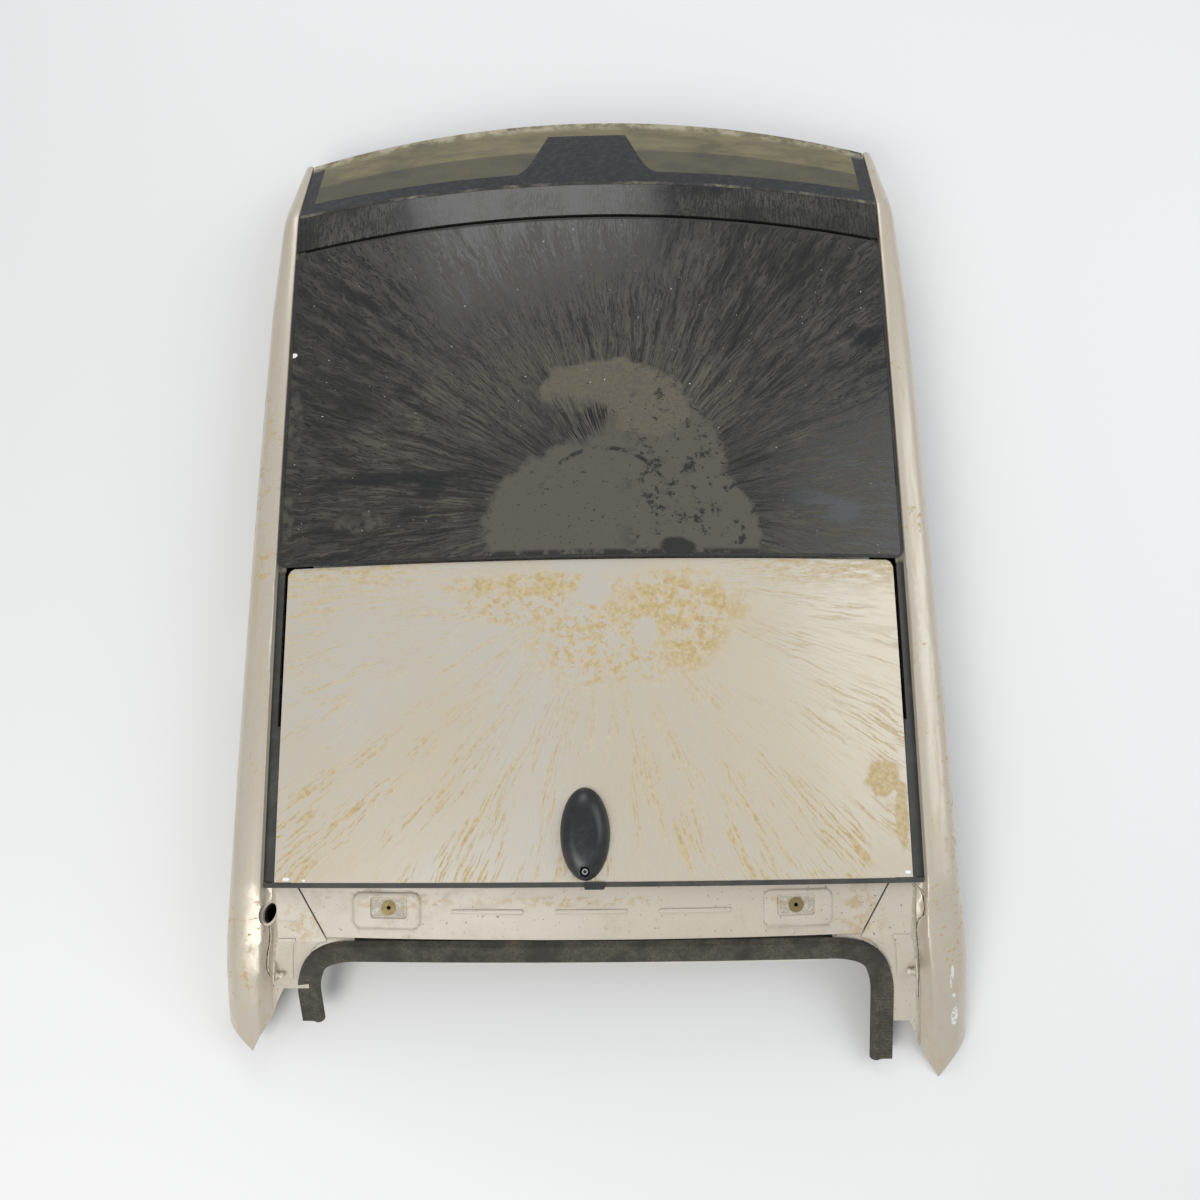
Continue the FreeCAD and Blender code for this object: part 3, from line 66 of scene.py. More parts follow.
class Graph:
    # one material built from nodes; a value may be a number, a colour or a node's output
    def __init__(self, name):
        self.material = bpy.data.materials.new(name)
        self.material.use_nodes = True
        self.tree = self.material.node_tree
        self.tree.nodes.clear()
        output = self.add("ShaderNodeOutputMaterial")
        self.shader = self.add("ShaderNodeBsdfPrincipled")
        self.tree.links.new(self.shader.outputs[0], output.inputs[0])
        self.coords = self.add("ShaderNodeTexCoord").outputs["Object"]

    def add(self, kind):
        return self.tree.nodes.new(kind)

    def put(self, socket, value):
        if hasattr(value, "is_output"):
            self.tree.links.new(value, socket)
        else:
            socket.default_value = value

    def set(self, **values):
        for name, value in values.items():
            self.put(self.shader.inputs[name.replace("_", " ")], value)

    def math(self, operation, first, second=0.0, clamp=False):
        node = self.add("ShaderNodeMath")
        node.operation = operation
        node.use_clamp = clamp
        self.put(node.inputs[0], first)
        self.put(node.inputs[1], second)
        return node.outputs[0]

    def axes(self):
        node = self.add("ShaderNodeSeparateXYZ")
        self.put(node.inputs[0], self.coords)
        return node.outputs

    def join(self, x, y, z=0.0):
        node = self.add("ShaderNodeCombineXYZ")
        for socket, value in zip(node.inputs, (x, y, z)):
            self.put(socket, value)
        return node.outputs[0]

    def stretched(self, x, y, z):
        node = self.add("ShaderNodeVectorMath")
        node.operation = "MULTIPLY"
        self.put(node.inputs[0], self.coords)
        node.inputs[1].default_value = (x, y, z)
        return node.outputs[0]

    def noise(self, scale, detail=4.0, rough=0.55, vector=None):
        node = self.add("ShaderNodeTexNoise")
        self.put(node.inputs["Vector"], vector or self.coords)
        node.inputs["Scale"].default_value = scale
        node.inputs["Detail"].default_value = detail
        node.inputs["Roughness"].default_value = rough
        return node.outputs["Fac"]

    def fade(self, value, low, high, smooth=True):
        # 0 at low, 1 at high
        node = self.add("ShaderNodeMapRange")
        node.interpolation_type = "SMOOTHSTEP" if smooth else "LINEAR"
        node.clamp = True
        self.put(node.inputs["Value"], value)
        node.inputs["From Min"].default_value = low
        node.inputs["From Max"].default_value = high
        return node.outputs[0]

    def mix(self, share, first, second):
        node = self.add("ShaderNodeMix")
        node.data_type = "RGBA"
        self.put(node.inputs[0], share)
        self.put(node.inputs[6], first)
        self.put(node.inputs[7], second)
        return node.outputs[2]

    def blend(self, share, first, second):
        node = self.add("ShaderNodeMix")
        node.data_type = "FLOAT"
        self.put(node.inputs[0], share)
        self.put(node.inputs[2], first)
        self.put(node.inputs[3], second)
        return node.outputs[0]

    def length(self, dx, dy):
        # length of a flat vector
        squares = self.math("ADD", self.math("MULTIPLY", dx, dx), self.math("MULTIPLY", dy, dy))
        return self.math("SQRT", squares)

    def polar(self, centre):
        # angle and distance about an upright line
        x, y, _ = self.axes()
        dx = self.math("SUBTRACT", x, centre[0])
        dy = self.math("SUBTRACT", y, centre[1])
        angle = self.math("ARCTAN2", dy, dx)
        return angle, self.length(dx, dy)

    def streaks(self, centre, turns, reach, detail=5.0, wander=0.0):
        # streaks that run outwards from a centre
        angle, distance = self.polar(centre)
        if wander:
            stray = self.math("SUBTRACT", self.noise(11.0, 3.0, 0.6), 0.5)
            angle = self.math("ADD", angle, self.math("MULTIPLY", stray, wander))
        circle = self.join(self.math("MULTIPLY", self.math("COSINE", angle), turns),
                           self.math("MULTIPLY", self.math("SINE", angle), turns),
                           self.math("MULTIPLY", distance, reach))
        return self.noise(1.0, detail, 0.6, circle)

    def spot(self, centre, radii, soft=0.35, ragged=0.0, grain=30.0):
        # 1 inside an oval, seen from above, and 0 outside
        x, y, _ = self.axes()
        dx = self.math("DIVIDE", self.math("SUBTRACT", x, centre[0]), radii[0])
        dy = self.math("DIVIDE", self.math("SUBTRACT", y, centre[1]), radii[1])
        away = self.length(dx, dy)
        if ragged:
            stray = self.math("SUBTRACT", self.noise(grain, 5.0, 0.65), 0.5)
            away = self.math("ADD", away, self.math("MULTIPLY", stray, ragged))
        return self.fade(away, 1.0 + soft, 1.0 - soft)

    def spots(self, ovals, soft, ragged, grain=30.0):
        # several ovals taken together
        total = None
        for centre, radii in ovals:
            one = self.spot(centre, radii, soft, ragged, grain)
            total = one if total is None else self.math("MAXIMUM", total, one)
        return total

    def outside(self, mask):
        return self.math("SUBTRACT", 1.0, mask, True)

    def times(self, *values):
        total = values[0]
        for value in values[1:]:
            total = self.math("MULTIPLY", total, value)
        return total

    def bump(self, height, strength, distance):
        node = self.add("ShaderNodeBump")
        node.inputs["Strength"].default_value = strength
        node.inputs["Distance"].default_value = distance
        self.put(node.inputs["Height"], height)
        self.put(self.shader.inputs["Normal"], node.outputs[0])


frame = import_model()
print("loaded", len(frame["nodes"]), "nodes")


skinSettings = {
    "paint": linear(200, 194, 183),
    "shade": linear(186, 179, 166),
    "ochre": linear(174, 150, 100),
    "pale": linear(194, 176, 138),
    "centre": (0.03, -0.05),
    "crust": (((-0.09, -0.062), (0.17, 0.022)), ((0.15, -0.1), (0.125, 0.06)),
              ((0.18, -0.15), (0.06, 0.07))),
    "thinCrust": (((0.03, -0.165), (0.13, 0.085)), ((-0.12, -0.09), (0.1, 0.05))),
    "clean": (((0.012, -0.07), (0.028, 0.03)), ((0.1, -0.15), (0.02, 0.03))),
    "blotches": (((0.5, -0.4), (0.03, 0.03)), ((0.53, -0.47), (0.012, 0.05))),
    "chips": (((-0.522, -0.561), (0.006, 0.003)), ((0.535, -0.558), (0.005, 0.003)),
              ((-0.49, -0.563), (0.003, 0.002))),
    "chip": linear(236, 234, 230),
}


def skinPaint(name, settings=skinSettings):
    # metallic paint with dried ochre mud that rain has washed into fine streaks
    g = Graph(name)
    flake = g.noise(2400.0, 1.0, 0.5)
    paint = g.mix(g.fade(flake, 0.35, 0.65), settings["paint"], settings["shade"])
    _, away = g.polar(settings["centre"])
    x, y, _ = g.axes()
    fine = g.noise(120.0, 5.0, 0.7)
    thread = g.streaks(settings["centre"], 125.0, 15.0, 2.0, 0.04)
    cluster = g.streaks(settings["centre"], 11.0, 5.0, 4.0, 0.08)
    ahead = g.fade(y, -0.2, -0.5)
    openShare = g.blend(ahead, 0.6, 0.95)
    sharp = g.fade(thread, 0.51, 0.565)
    streak = g.times(sharp, g.fade(cluster, 0.44, 0.56), g.fade(away, 0.06, 0.16), openShare)
    faint = g.times(g.fade(thread, 0.5, 0.6), g.fade(away, 0.1, 0.3), 0.22)
    blot = g.fade(g.noise(42.0, 6.0, 0.72), 0.4, 0.53)
    crust = g.times(g.spots(settings["crust"], 0.3, 1.3), g.blend(blot, 0.12, 0.95))
    grain = g.fade(g.noise(75.0, 5.0, 0.7), 0.47, 0.55)
    lace = g.times(g.spots(settings["thinCrust"], 0.35, 1.0), grain, 0.9)
    row = g.noise(1.0, 5.0, 0.65, g.stretched(26.0, 150.0, 10.0))
    across = g.fade(g.math("ABSOLUTE", x), 0.24, 0.34)
    band = g.times(across, g.fade(y, -0.095, -0.03), g.fade(row, 0.42, 0.56), 0.8)
    lumps = g.times(g.spots(settings["blotches"], 0.2, 1.4, 50.0), 0.9)
    film = g.math("MAXIMUM", g.math("MAXIMUM", streak, faint), g.math("MAXIMUM", crust, lace))
    film = g.math("MAXIMUM", film, g.math("MAXIMUM", band, lumps))
    film = g.math("MULTIPLY", film, g.outside(g.spots(settings["clean"], 0.2, 0.7)), True)
    colour = g.mix(film, paint, g.mix(g.fade(fine, 0.35, 0.65), settings["pale"], settings["ochre"]))
    warm = g.fade(g.noise(3.0, 3.0, 0.5), 0.4, 0.65)
    colour = g.mix(g.times(warm, g.outside(film), 0.35), colour, settings["pale"])
    colour = g.mix(g.spots(settings["chips"], 0.15, 0.5, 200.0), colour, settings["chip"])
    g.set(Base_Color=colour, Metallic=g.blend(film, 0.25, 0.0), Roughness=g.blend(film, 0.38, 0.85),
          Coat_Weight=g.blend(film, 0.3, 0.0), Coat_Roughness=0.1)
    g.bump(g.math("ADD", film, g.math("MULTIPLY", fine, 0.15)), 0.3, 0.0006)
    return g.material


railSettings = {
    "paint": linear(200, 192, 178),
    "shade": linear(178, 168, 150),
    "ochre": linear(178, 148, 92),
    "scuff": linear(226, 226, 222),
    "soiled": (((-0.6, 0.12), (0.035, 0.24)), ((0.64, -0.42), (0.04, 0.3)), ((-0.61, -0.72), (0.03, 0.06))),
    "scuffs": (((0.612, -0.733), (0.003, 0.019)), ((0.623, -0.805), (0.006, 0.016)),
               ((0.618, -0.77), (0.003, 0.006))),
}


def railPaint(name, settings=railSettings):
    # painted body sides with rain-washed dirt, mud spots and scuffs
    g = Graph(name)
    flake = g.noise(2400.0, 1.0, 0.5)
    paint = g.mix(g.fade(flake, 0.35, 0.65), settings["paint"], settings["shade"])
    fine = g.noise(130.0, 5.0, 0.7)
    long = g.noise(1.0, 5.0, 0.65, g.stretched(70.0, 7.0, 70.0))
    haze = g.times(g.fade(long, 0.46, 0.72), 0.35)
    spatter = g.fade(g.noise(85.0, 4.0, 0.6), 0.58, 0.64)
    soiled = g.spots(settings["soiled"], 0.4, 0.8, 14.0)
    blots = g.times(g.fade(g.noise(42.0, 6.0, 0.75), 0.54, 0.62), soiled, 0.75)
    rare = g.times(spatter, g.fade(g.noise(7.0, 3.0, 0.5), 0.52, 0.62), 0.8)
    film = g.math("MAXIMUM", haze, g.math("MAXIMUM", blots, rare), True)
    colour = g.mix(film, paint, settings["ochre"])
    scuff = g.times(g.spots(settings["scuffs"], 0.2, 1.6, 160.0), g.fade(fine, 0.4, 0.5))
    colour = g.mix(scuff, colour, settings["scuff"])
    g.set(Base_Color=colour, Metallic=g.blend(film, 0.25, 0.0), Roughness=g.blend(film, 0.34, 0.85),
          Coat_Weight=g.blend(film, 0.4, 0.0), Coat_Roughness=0.08)
    g.bump(g.math("ADD", film, g.math("MULTIPLY", fine, 0.12)), 0.25, 0.0005)
    return g.material


headerSettings = {
    "paint": linear(190, 181, 165),
    "shade": linear(166, 156, 138),
    "ochre": linear(168, 138, 84),
    "speck": linear(92, 84, 70),
    "stains": (((-0.31, -0.6), (0.09, 0.01)), ((-0.04, -0.6), (0.16, 0.008)), ((0.33, -0.6), (0.03, 0.01)),
               ((0.46, -0.63), (0.035, 0.05)), ((-0.5, -0.64), (0.03, 0.03))),
    "bare": linear(150, 143, 126),
    "pad": (0.347, -0.613),
    "padHalf": (0.059, 0.03),
    "padCorner": 0.015,
    "recess": (0.3455, -0.609),
    "recessHalf": (0.03, 0.0155),
}


def roundedBox(g, centre, half, corner):
    # distance to the edge of a rounded rectangle on both sides of the middle, negative inside
    x, y, _ = g.axes()
    beside = g.math("ABSOLUTE", g.math("SUBTRACT", g.math("ABSOLUTE", x), centre[0]))
    dx = g.math("SUBTRACT", beside, half[0] - corner)
    dy = g.math("SUBTRACT", g.math("ABSOLUTE", g.math("SUBTRACT", y, centre[1])), half[1] - corner)
    ex, ey = g.math("MAXIMUM", dx, 0.0), g.math("MAXIMUM", dy, 0.0)
    away = g.length(ex, ey)
    inner = g.math("MINIMUM", g.math("MAXIMUM", dx, dy), 0.0)
    return g.math("SUBTRACT", g.math("ADD", away, inner), corner)


def headerPaint(name, settings=headerSettings):
    # thin paint of the inner flanges, with dirt in the corners and specks of grit
    g = Graph(name)
    fine = g.noise(110.0, 6.0, 0.72)
    cloud = g.noise(15.0, 6.0, 0.7)
    film = g.times(g.fade(cloud, 0.44, 0.68), g.fade(fine, 0.3, 0.7), 0.5)
    grain = g.fade(g.noise(60.0, 5.0, 0.7), 0.45, 0.6)
    stain = g.times(g.spots(settings["stains"], 0.4, 1.5, 26.0), grain, 0.55)
    grit = g.fade(g.noise(190.0, 2.0, 0.5), 0.69, 0.73)
    paint = g.mix(film, settings["paint"], settings["shade"])
    colour = g.mix(stain, paint, settings["ochre"])
    colour = g.mix(g.times(grit, 0.85), colour, settings["speck"])
    inside = g.fade(roundedBox(g, settings["recess"], settings["recessHalf"], 0.003), 0.0, -0.002)
    scraped = g.times(inside, g.fade(g.noise(150.0, 5.0, 0.75), 0.42, 0.52), 0.7)
    colour = g.mix(scraped, colour, settings["bare"])
    border = roundedBox(g, settings["pad"], settings["padHalf"], settings["padCorner"])
    pad = g.fade(border, 0.0035, -0.0035)
    g.set(Base_Color=colour, Metallic=0.0, Roughness=g.blend(film, 0.42, 0.8),
          Coat_Weight=0.15, Coat_Roughness=0.2)
    relief = g.math("ADD", g.math("MULTIPLY", pad, 4.0), g.math("MULTIPLY", scraped, 1.2))
    relief = g.math("ADD", relief, g.math("MULTIPLY", stain, 0.4))
    g.bump(g.math("ADD", g.math("MULTIPLY", fine, 0.4), relief), 0.5, 0.0006)
    return g.material


glassSettings = {
    "black": linear(19, 20, 23),
    "dust": linear(80, 76, 67),
    "pale": linear(104, 100, 88),
    "matt": linear(90, 87, 79),
    "centre": (0.06, 0.07),
    "patch": (((0.03, 0.02), (0.215, 0.185)), ((0.1, 0.17), (0.145, 0.125)), ((0.2, 0.02), (0.105, 0.125))),
    "crust": (((0.035, 0.3), (0.12, 0.055)), ((0.11, 0.27), (0.08, 0.06))),
    "dark": (((-0.03, 0.24), (0.075, 0.045)), ((0.16, 0.0), (0.03, 0.018))),
    "wiped": (((0.4, 0.09), (0.075, 0.014)), ((0.46, 0.068), (0.03, 0.02)), ((0.52, 0.41), (0.035, 0.02)),
              ((-0.35, 0.14), (0.12, 0.012)), ((-0.28, 0.12), (0.03, 0.02))),
    "smears": (((-0.545, 0.25), (0.016, 0.07)), ((-0.41, 0.06), (0.05, 0.022)),
               ((-0.55, 0.08), (0.015, 0.05))),
    "speck": (((-0.555, 0.398), (0.007, 0.005)),),
    "arcCentre": (0.03, 0.06),
    "arcRadius": 0.125,
    "crusted": linear(104, 97, 83),
    "chip": linear(228, 226, 220),
    "grit": linear(200, 198, 190),
}


def dustyGlass(name, settings=glassSettings):
    # nearly black glass with dust that rain has washed outwards round a matt patch
    g = Graph(name)
    _, away = g.polar(settings["centre"])
    cloud = g.noise(4.5, 5.0, 0.6)
    fine = g.noise(170.0, 6.0, 0.75)
    thread = g.streaks(settings["centre"], 96.0, 18.0, 3.0, 0.05)
    broad = g.streaks(settings["centre"], 34.0, 9.0, 4.0, 0.05)
    rill = g.math("ABSOLUTE", g.math("SUBTRACT", thread, 0.5))
    rill = g.fade(rill, 0.002, 0.045)
    body = g.fade(broad, 0.32, 0.6)
    thick = g.math("ADD", g.math("MULTIPLY", body, 0.7), 0.15)
    film = g.times(rill, thick, g.blend(g.fade(cloud, 0.32, 0.6), 0.5, 1.0))
    near = g.blend(g.fade(away, 0.75, 0.22), 0.5, 1.0)
    film = g.times(film, near, g.blend(g.fade(thread, 0.42, 0.62), 0.7, 1.15))
    film = g.math("MULTIPLY", film, g.outside(g.times(g.spots(settings["wiped"], 0.5, 2.2, 24.0), 0.8)))
    grain = g.fade(g.noise(60.0, 4.0, 0.6), 0.35, 0.6)
    smear = g.times(g.spots(settings["smears"], 0.3, 1.2, 20.0), grain, 0.6)
    film = g.math("MAXIMUM", film, smear)
    patch = g.spots(settings["patch"], 0.05, 0.35, 34.0)
    crust = g.spots(settings["crust"], 0.08, 0.9, 26.0)
    large = g.fade(g.noise(95.0, 3.0, 0.6), 0.66, 0.7)
    small = g.fade(g.noise(230.0, 2.0, 0.5), 0.68, 0.72)
    pits = g.math("MAXIMUM", large, small)
    x, y, _ = g.axes()
    worn = g.times(g.fade(g.noise(38.0, 6.0, 0.75), 0.54, 0.6), g.fade(x, 0.04, 0.12))
    hole = g.math("MAXIMUM", pits, worn)
    _, radius = g.polar(settings["arcCentre"])
    ring = g.math("ABSOLUTE", g.math("SUBTRACT", radius, settings["arcRadius"]))
    broken = g.fade(g.noise(26.0, 4.0, 0.7), 0.46, 0.56)
    arc = g.times(g.fade(ring, 0.006, 0.002), g.fade(y, 0.1, 0.14), broken)
    lip = g.times(g.fade(y, 0.002, -0.006), g.fade(g.noise(45.0, 5.0, 0.7), 0.35, 0.55))
    hole = g.math("MAXIMUM", g.math("MAXIMUM", hole, arc), lip)
    hole = g.math("MAXIMUM", hole, g.spots(settings["dark"][1:], 0.2, 1.0))
    matt = g.math("MULTIPLY", g.math("MAXIMUM", patch, crust), g.outside(g.times(hole, 0.85)))
    strokes = g.fade(thread, 0.42, 0.54)
    matt = g.math("MULTIPLY", matt, g.outside(g.times(g.spots(settings["dark"][:1], 0.3, 0.9), strokes)))
    film = g.math("MULTIPLY", film, g.outside(patch))
    film = g.math("ADD", film, g.math("MULTIPLY", fine, 0.05), True)
    colour = g.mix(film, settings["black"], g.mix(fine, settings["dust"], settings["pale"]))
    crusted = g.mix(g.times(crust, g.fade(fine, 0.35, 0.6)), settings["matt"], settings["crusted"])
    colour = g.mix(matt, colour, crusted)
    colour = g.mix(g.spots(settings["speck"], 0.1, 0.8, 150.0), colour, settings["chip"])
    white = g.times(g.fade(g.noise(210.0, 1.0, 0.4), 0.8, 0.815), g.outside(patch))
    colour = g.mix(white, colour, settings["grit"])
    cover = g.math("MAXIMUM", film, matt)
    g.set(Base_Color=colour, Roughness=g.blend(cover, 0.1, 0.85), IOR=1.5,
          Specular_IOR_Level=g.blend(cover, 0.5, 0.15))
    g.bump(g.math("ADD", cover, g.math("MULTIPLY", fine, 0.2)), 0.2, 0.0004)
    return g.material


def panelGlass(name):
    # black printed glass with short streaks that run along the car
    g = Graph(name)
    fine = g.noise(170.0, 6.0, 0.75)
    thread = g.noise(1.0, 4.0, 0.65, g.stretched(190.0, 24.0, 10.0))
    cloud = g.noise(7.0, 4.0, 0.6)
    rill = g.fade(g.math("ABSOLUTE", g.math("SUBTRACT", thread, 0.5)), 0.004, 0.06)
    film = g.times(rill, g.fade(cloud, 0.3, 0.68), g.math("ADD", g.math("MULTIPLY", fine, 0.7), 0.1))
    film = g.math("ADD", film, g.math("MULTIPLY", fine, 0.06), True)
    colour = g.mix(film, linear(20, 21, 23), linear(92, 88, 76))
    g.set(Base_Color=colour, Roughness=g.blend(film, 0.12, 0.8), IOR=1.5)
    g.bump(film, 0.2, 0.0003)
    return g.material


screenSettings = {
    "glass": linear(52, 56, 48),
    "dirt": linear(142, 131, 98),
    "darkDirt": linear(104, 97, 76),
    "crust": linear(196, 188, 160),
    "frit": linear(24, 25, 27),
    "fritDust": linear(64, 63, 58),
    "end": 0.537,
    "bow": -0.1,
    "cutBow": -0.2,
    "bandStart": 0.762,
    "tone": 0.826,
    "cut": 0.912,
    "mirrorFront": 0.879,
}


def screenGlass(name, settings=screenSettings):
    # laminated glass with a black printed border and mirror patch, under caked dirt
    g = Graph(name)
    x, y, _ = g.axes()
    across = g.math("ABSOLUTE", x)
    back = g.math("SUBTRACT", y, g.times(x, x, settings["bow"]))
    wobble = g.math("MULTIPLY", g.noise(60.0, 4.0, 0.7), 0.008)
    frit = g.math("MAXIMUM", g.fade(across, settings["end"] - 0.001, settings["end"] + 0.001),
                  g.fade(back, settings["bandStart"], settings["bandStart"] - 0.003))
    depth = g.math("SUBTRACT", settings["mirrorFront"], y)
    flare = g.math("POWER", g.math("MULTIPLY", g.math("MAXIMUM", depth, 0.0), 8.0), 10.0)
    slant = g.math("ADD", g.math("MULTIPLY", depth, 0.36), 0.0775)
    half = g.math("ADD", slant, g.math("MULTIPLY", flare, 0.02))
    beside = g.math("ABSOLUTE", g.math("SUBTRACT", x, 0.002))
    inside = g.fade(g.math("SUBTRACT", beside, half), 0.0008, -0.0008)
    mirror = g.math("MULTIPLY", inside, g.fade(depth, 0.0, 0.002))
    frit = g.math("MAXIMUM", frit, mirror)
    fine = g.noise(150.0, 6.0, 0.75)
    cloud = g.noise(7.0, 6.0, 0.65)
    streaky = g.noise(1.0, 5.0, 0.7, g.stretched(12.0, 60.0, 60.0))
    rear = g.math("SUBTRACT", y, g.times(x, x, -0.16))
    band = g.fade(rear, settings["tone"], settings["tone"] + 0.006)
    grain = g.math("ADD", g.math("MULTIPLY", fine, 0.5), 0.55)
    dirt = g.math("MULTIPLY", g.fade(cloud, 0.1, 0.55), grain, True)
    dirt = g.math("MULTIPLY", dirt, g.blend(g.fade(streaky, 0.35, 0.6), 0.75, 1.0), True)
    under = g.mix(frit, settings["glass"], settings["frit"])
    caked = g.mix(band, settings["darkDirt"], settings["dirt"])
    caked = g.mix(frit, caked, settings["fritDust"])
    grime = g.times(g.fade(g.noise(80.0, 5.0, 0.75), 0.4, 0.7), 0.28)
    cover = g.blend(frit, dirt, grime)
    colour = g.mix(cover, under, caked)
    rim = g.math("SUBTRACT", y, g.times(x, x, settings["cutBow"]))
    edge = g.times(g.fade(g.math("ADD", rim, wobble), settings["cut"] - 0.016, settings["cut"] + 0.004),
                   g.fade(g.noise(24.0, 5.0, 0.7), 0.42, 0.6), g.outside(mirror))
    colour = g.mix(g.times(edge, 0.75), colour, settings["crust"])
    g.set(Base_Color=colour, Roughness=g.blend(cover, 0.14, 0.85), IOR=1.5,
          Transmission_Weight=g.times(g.outside(frit), g.outside(cover), 0.6))
    g.bump(g.math("MULTIPLY", cover, fine), 0.2, 0.0004)
    return g.material


def ribbedSeal(name):
    # foam rubber seal with fine ribs across it, dusty on top, with painted shade darkening the grooves
    # between the ribs
    g = Graph(name)
    x, y, z = g.axes()
    rib = g.math("SINE", g.math("MULTIPLY", x, 2100.0))
    ribDown = g.math("SINE", g.math("MULTIPLY", z, 2100.0))
    straight = g.fade(g.math("ABSOLUTE", x), 0.455, 0.43)
    rib = g.blend(straight, ribDown, rib)
    fine = g.noise(240.0, 4.0, 0.6)
    cloud = g.noise(18.0, 6.0, 0.7)
    film = g.times(g.fade(cloud, 0.35, 0.65), g.fade(fine, 0.2, 0.7), 0.8)
    colour = g.mix(film, linear(50, 49, 43), linear(102, 97, 80))
    # painted shade: the grooves between the ribs are darkened
    colour = g.mix(g.times(g.fade(rib, -0.2, -0.9), 0.35), colour, linear(30, 29, 26))
    g.set(Base_Color=colour, Roughness=0.85)
    g.bump(g.math("ADD", rib, g.math("MULTIPLY", fine, 0.5)), 0.4, 0.0005)
    return g.material


def cutSteel(name):
    # bare steel where a saw went through, with tooth marks and a little bloom
    g = Graph(name)
    marks = g.noise(1.0, 3.0, 0.6, g.stretched(240.0, 240.0, 1800.0))
    bloom = g.fade(g.noise(140.0, 4.0, 0.7), 0.56, 0.66)
    colour = g.mix(g.times(bloom, 0.4), linear(222, 222, 220), linear(150, 112, 78))
    g.set(Base_Color=colour, Metallic=0.7, Roughness=0.35)
    g.bump(marks, 0.5, 0.0003)
    return g.material


def plainFinish(name, colour, rough, metallic=0.0, dust=0.3, dustColour=(120, 112, 96), grain=300.0):
    # plastic, rubber or metal with a little settled dust
    g = Graph(name)
    fine = g.noise(grain, 4.0, 0.6)
    cloud = g.noise(16.0, 6.0, 0.7)
    settled = g.math("MULTIPLY", g.fade(fine, 0.2, 0.8), dust)
    film = g.math("MULTIPLY", g.fade(cloud, 0.4, 0.68), settled, True)
    g.set(Base_Color=g.mix(film, linear(*colour), linear(*dustColour)), Roughness=g.blend(film, rough, 0.85),
          Metallic=g.blend(film, metallic, 0.0))
    g.bump(fine, 0.25, 0.0002)
    return g.material


def clothFinish(name):
    # woven headlining cloth
    g = Graph(name)
    x, y, _ = g.axes()
    warp = g.math("SINE", g.math("MULTIPLY", x, 2600.0))
    weft = g.math("SINE", g.math("MULTIPLY", y, 2600.0))
    weave = g.math("MULTIPLY", warp, weft)
    cloud = g.noise(9.0, 4.0, 0.6)
    colour = g.mix(g.fade(cloud, 0.3, 0.7), linear(168, 163, 150), linear(182, 178, 166))
    g.set(Base_Color=colour, Roughness=0.95, Sheen_Weight=0.3)
    g.bump(weave, 0.3, 0.0003)
    return g.material


skinFinish = skinPaint("skin_paint")
bodyPaint = railPaint("body_paint")
flangePaint = headerPaint("flange_paint")
# inner steel given a colour darker than the body's own paint, as painted shade of the closed spaces under
# the roof
innerPaintShaded = plainFinish("inner_paint_shaded", (122, 115, 102), 0.55, 0.0, 0.6, (120, 104, 74), 220.0)
roofGlass = dustyGlass("roof_glass")
blackPanel = panelGlass("panel_glass")
windscreenGlass = screenGlass("screen_glass")
rubber = plainFinish("black_rubber", (30, 31, 31), 0.6, 0.0, 0.4, (92, 88, 76))
dustyRubber = plainFinish("dusty_rubber", (44, 43, 40), 0.75, 0.0, 1.0, (142, 136, 118), 120.0)
paleRubber = plainFinish("seam_rubber", (58, 56, 50), 0.75, 0.0, 1.3, (176, 168, 142), 90.0)
sealRubber = ribbedSeal("seal_rubber")
adhesive = plainFinish("adhesive", (20, 20, 21), 0.8)
blackPlastic = plainFinish("black_plastic", (40, 41, 40), 0.55, 0.0, 0.4)
stripPlastic = plainFinish("strip_plastic", (48, 50, 49), 0.5, 0.0, 0.5, (104, 100, 90))
shellPlastic = plainFinish("antenna_shell", (26, 29, 31), 0.34, 0.0, 0.3, (84, 86, 84))
railAlloy = plainFinish("rail_alloy", (38, 39, 39), 0.45, 0.4, 0.3)
barAlloy = plainFinish("bar_alloy", (34, 34, 35), 0.45, 0.5, 0.3)
platedSteel = plainFinish("plated_steel", (168, 168, 164), 0.35, 0.95, 0.25)
studSteel = plainFinish("stud_steel", (206, 198, 180), 0.45, 0.3, 0.3)
yellowZinc = plainFinish("yellow_zinc", (134, 118, 78), 0.45, 0.7, 0.6, (104, 92, 62))
slidePlastic = plainFinish("slide_plastic", (206, 202, 190), 0.5)
motorSteel = plainFinish("motor_steel", (120, 122, 124), 0.4, 0.85, 0.2)
shadeCloth = clothFinish("shade_cloth")
sawnSteel = cutSteel("sawn_steel")
# dark colour for the painted shadow beside the seam sealer
seamShadowColour = plainFinish("seam_shadow_colour", (58, 50, 40), 0.9, 0.0, 0.4)
liningWhite = plainFinish("lining_white", (214, 211, 200), 0.8, 0.0, 0.4, (150, 142, 120), 160.0)

